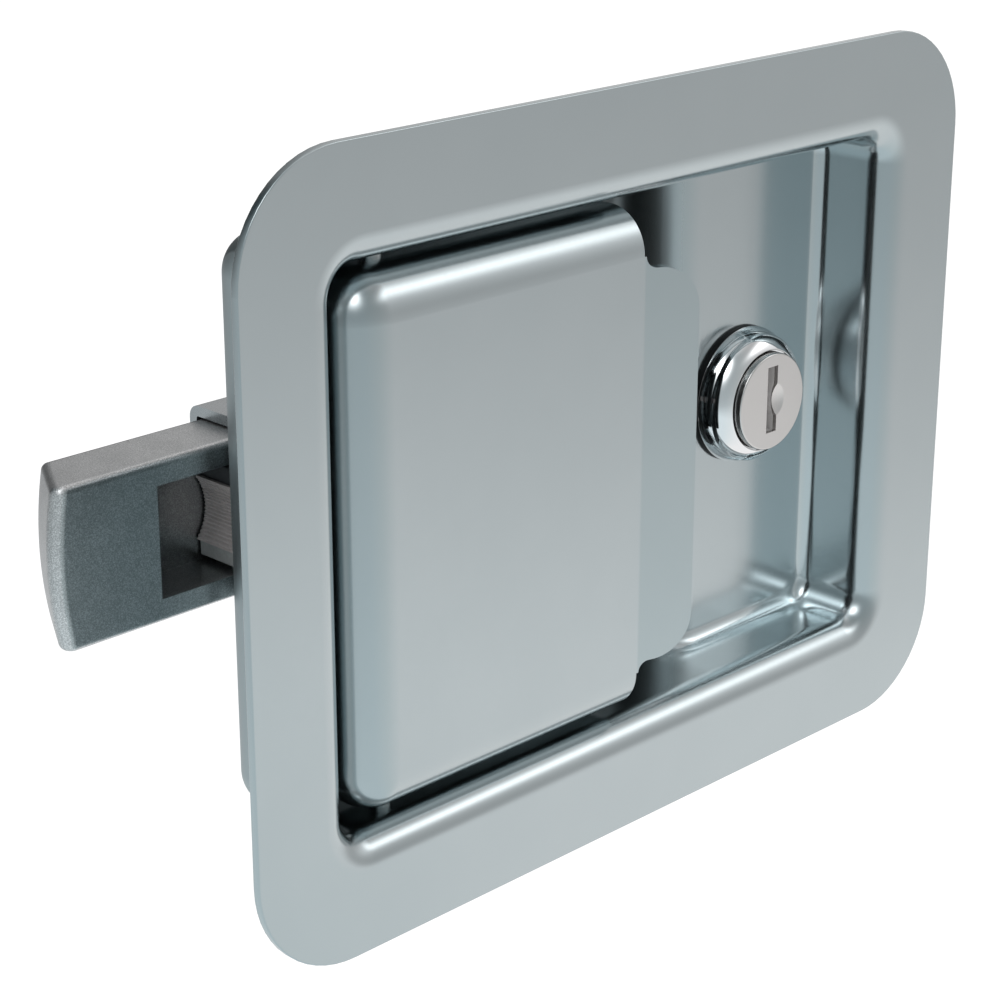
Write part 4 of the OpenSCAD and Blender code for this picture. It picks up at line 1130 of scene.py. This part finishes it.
# Painted shade on the bezel's foot
LOCK_CHROME.layer(PAINTED_SHADE_BEZEL_FOOT, fade=0.1, Base_Color=(0.012, 0.013, 0.014), Roughness=0.5, Metallic=0.0)
PLUG_NICKEL = Metal("satin_nickel").finish(
    dark=(0.645, 0.632, 0.624), light=(0.665, 0.652, 0.644), rough=(0.25, 0.27),
    mottle=260.0, grain=3400.0, bump=0.0000002, fine=0.3)
PLUG_NICKEL.layer(IN_KEYWAY, fade=0.1, Base_Color=(0.92, 0.92, 0.93), Roughness=0.6, Metallic=0.2)
WAFER_BRASS = Metal("wafer_brass").finish(
    dark=(0.56, 0.46, 0.25), light=(0.66, 0.56, 0.33), rough=(0.26, 0.36),
    mottle=300.0, grain=2600.0, bump=0.000005, fine=0.4)

CAD_FINISHES = {
    "guide_bracket": BRACKET_STEEL, "bracket_rivets": FASTENER_STEEL, "hinge_pin": FASTENER_STEEL,
    "pin_clips": SPRING_STEEL, "paddle_lever": BLOCK_STEEL, "paddle_spring": SPRING_STEEL,
    "drive_rod": FASTENER_STEEL, "spring_washer": FASTENER_STEEL, "lock_washer": FASTENER_STEEL,
    "lock_nut": FASTENER_STEEL, "lock_cam": FASTENER_STEEL, "cam_washer": FASTENER_STEEL,
    "cam_screw": FASTENER_STEEL, "lock_wafers": WAFER_BRASS, "wafer_springs": SPRING_STEEL,
}

make_pan(PAN_STEEL.material)
make_paddle(PADDLE_STEEL.material)
make_bolt(BOLT_CASTING.material)
make_block(BLOCK_STEEL.material)
make_housing(LOCK_CHROME.material)
make_plug(PLUG_NICKEL.material)
make_studs(FASTENER_STEEL.material)
make_bolt_spring(SPRING_STEEL.material)
for name, finish in CAD_FINISHES.items():
    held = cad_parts[name].data.materials
    held.clear()
    held.append(finish.material)


# Studio


# Soft boxes: azimuth from the front towards the lock, elevation and half widths in degrees, and strength; the
# last one is a dark card
SOFT_BOXES = (
    (50, 37, 26, 8.5, 1.8), (62, 22, 24, 14, 0.4), (-55, 50, 18, 17, 3.6), (0, 88, 180, 14, 0.6),
    (-152, 42, 26, 24, -0.27),
)
# Shares of the room's light by elevation, from straight down to straight up
ROOM_BANDS = (
    (-90, 1.0), (-28, 1.0), (-20, 0.86), (-10, 0.64), (0, 0.56), (15, 0.52), (30, 0.5), (60, 0.48), (90, 0.6),
)
# Tint of the room by azimuth, from behind over the left, the front and the right to behind
ROOM_TINTS = (
    (-180, (0.8, 0.82, 0.83)), (-120, (0.78, 0.87, 0.9)), (-30, (0.78, 0.87, 0.9)), (0, (0.84, 0.9, 0.91)),
    (40, (1.0, 1.0, 1.0)), (100, (1.04, 1.03, 1.02)), (135, (1.5, 1.5, 1.5)), (165, (0.8, 0.82, 0.83)),
)
# The room darkens behind the latch: the direction's range along Y and Z over which it does, and how much
BEHIND_Y = (0.6, 0.95)
BEHIND_Z = (-0.3, 0.0)
BEHIND_SHADE = 0.7


def bell(tree, angle, middle, half):
    """How far an angle is from a middle one, in half widths, squared."""
    away = maths(tree, "DIVIDE", maths(tree, "SUBTRACT", angle, math.radians(middle)), math.radians(half))
    return maths(tree, "MULTIPLY", away, away)


def room_colour(tree, way):
    """Colour of the studio in a direction: bands by elevation, tints by azimuth, dark behind, and soft boxes.

    Elevation is the arc sine of Z and azimuth the angle of X to minus Y. A soft box is a bell curve of both.
    """
    unit = tree.nodes.new("ShaderNodeVectorMath")
    unit.operation = "NORMALIZE"
    tree.links.new(way, unit.inputs[0])
    split = tree.nodes.new("ShaderNodeSeparateXYZ")
    tree.links.new(unit.outputs["Vector"], split.inputs["Vector"])
    x, y, z = split.outputs
    elevation = maths(tree, "ARCSINE", z)
    azimuth = maths(tree, "ARCTAN2", x, maths(tree, "MULTIPLY", y, -1.0))
    height = spread(tree, elevation, -math.pi / 2, math.pi / 2, 0.0, 1.0)
    turn = spread(tree, azimuth, -math.pi, math.pi, 0.0, 1.0)
    band = ramp(tree, height, [((e + 90) / 180, (s, s, s)) for e, s in ROOM_BANDS])
    tint = ramp(tree, turn, [((a + 180) / 360, c) for a, c in ROOM_TINTS])
    away_y, away_z = spread(tree, y, *BEHIND_Y, 0.0, 1.0), spread(tree, z, *BEHIND_Z, 0.0, BEHIND_SHADE)
    shade = maths(tree, "SUBTRACT", 1.0, maths(tree, "MULTIPLY", away_y, away_z))
    light = 0.0
    for middle, rise, wide, tall, strength in SOFT_BOXES:
        away = maths(tree, "ADD", bell(tree, azimuth, middle, wide), bell(tree, elevation, rise, tall))
        fall = maths(tree, "POWER", math.e, maths(tree, "MULTIPLY", away, -1.0))
        light = maths(tree, "ADD", maths(tree, "MULTIPLY", fall, strength), light)
    shaded = vectors(tree, "SCALE", vectors(tree, "MULTIPLY", band, tint), shade, "Scale")
    return vectors(tree, "ADD", shaded, light)


def mirrored_room(tree, plain, way, shader):
    """The plain shader to the eye and to soft light; the graded room to rays off metal and through glass."""
    rays = tree.nodes.new("ShaderNodeLightPath")
    metal = maths(tree, "MAXIMUM", rays.outputs["Is Glossy Ray"], rays.outputs["Is Transmission Ray"])
    mirrored = maths(tree, "MULTIPLY", metal, maths(tree, "SUBTRACT", 1.0, rays.outputs["Is Camera Ray"]))
    room = tree.nodes.new(shader)
    tree.links.new(room_colour(tree, way), room.inputs["Color"])
    mix = tree.nodes.new("ShaderNodeMixShader")
    tree.links.new(mirrored, mix.inputs["Fac"])
    tree.links.new(plain, mix.inputs[1])
    tree.links.new(room.outputs[0], mix.inputs[2])
    return mix.outputs["Shader"]


def make_world():
    """A plain white studio, graded where metal mirrors it."""
    world = bpy.data.worlds.new("studio")
    bpy.context.scene.world = world
    world.use_nodes = True
    tree = world.node_tree
    tree.nodes.clear()
    place = tree.nodes.new("ShaderNodeTexCoord")
    white = node(tree, "ShaderNodeBackground", Color=(1, 1, 1, 1))
    seen = mirrored_room(tree, white.outputs[0], place.outputs["Generated"], "ShaderNodeBackground")
    out = tree.nodes.new("ShaderNodeOutputWorld")
    tree.links.new(seen, out.inputs["Surface"])


FLOOR_Z = -0.12
FLOOR_PALE = 0.8
FLOOR_GLOW = 0.3
FLOOR_HALF = 3.0


def make_floor():
    """A pale floor: it takes the latch's soft shadow, and a faint glow lifts the rest to white."""
    material = bpy.data.materials.new("pale_floor")
    material.use_nodes = True
    tree = material.node_tree
    tree.nodes.clear()
    place = tree.nodes.new("ShaderNodeTexCoord")
    pale = node(tree, "ShaderNodeBsdfDiffuse", Color=(FLOOR_PALE, FLOOR_PALE, FLOOR_PALE, 1))
    glow = node(tree, "ShaderNodeEmission", Strength=FLOOR_GLOW)
    plain = tree.nodes.new("ShaderNodeAddShader")
    tree.links.new(pale.outputs[0], plain.inputs[0])
    tree.links.new(glow.outputs[0], plain.inputs[1])
    seen = mirrored_room(tree, plain.outputs[0], place.outputs["Object"], "ShaderNodeEmission")
    out = tree.nodes.new("ShaderNodeOutputMaterial")
    tree.links.new(seen, out.inputs["Surface"])
    mesh = bpy.data.meshes.new("studio_floor")
    corners = FLOOR_HALF * np.array([(-1, -1, 0), (1, -1, 0), (1, 1, 0), (-1, 1, 0)])
    mesh.from_pydata(corners + np.array([0, 0, FLOOR_Z]), [], [(0, 1, 2, 3)])
    mesh.materials.append(material)
    floor = bpy.data.objects.new("studio_floor", mesh)
    bpy.context.scene.collection.objects.link(floor)


# The photograph's camera: lens and sensor in millimetres, place in metres, tilt and turn in degrees
CAMERA_LENS = 89.78
CAMERA_SENSOR = 36.0
CAMERA_PLACE = (-0.19994, -0.17853, 0.09392)
CAMERA_TILT = 69.95
CAMERA_TURN = -44.96


def make_camera():
    """Camera at the photograph's place."""
    data = bpy.data.cameras.new("photo_camera")
    data.lens = CAMERA_LENS
    data.sensor_width = CAMERA_SENSOR
    camera = bpy.data.objects.new("photo_camera", data)
    bpy.context.scene.collection.objects.link(camera)
    camera.location = CAMERA_PLACE
    camera.rotation_euler = (math.radians(CAMERA_TILT), 0, math.radians(CAMERA_TURN))
    bpy.context.scene.camera = camera


make_world()
make_floor()
make_camera()
bpy.context.scene.view_settings.view_transform = "Standard"
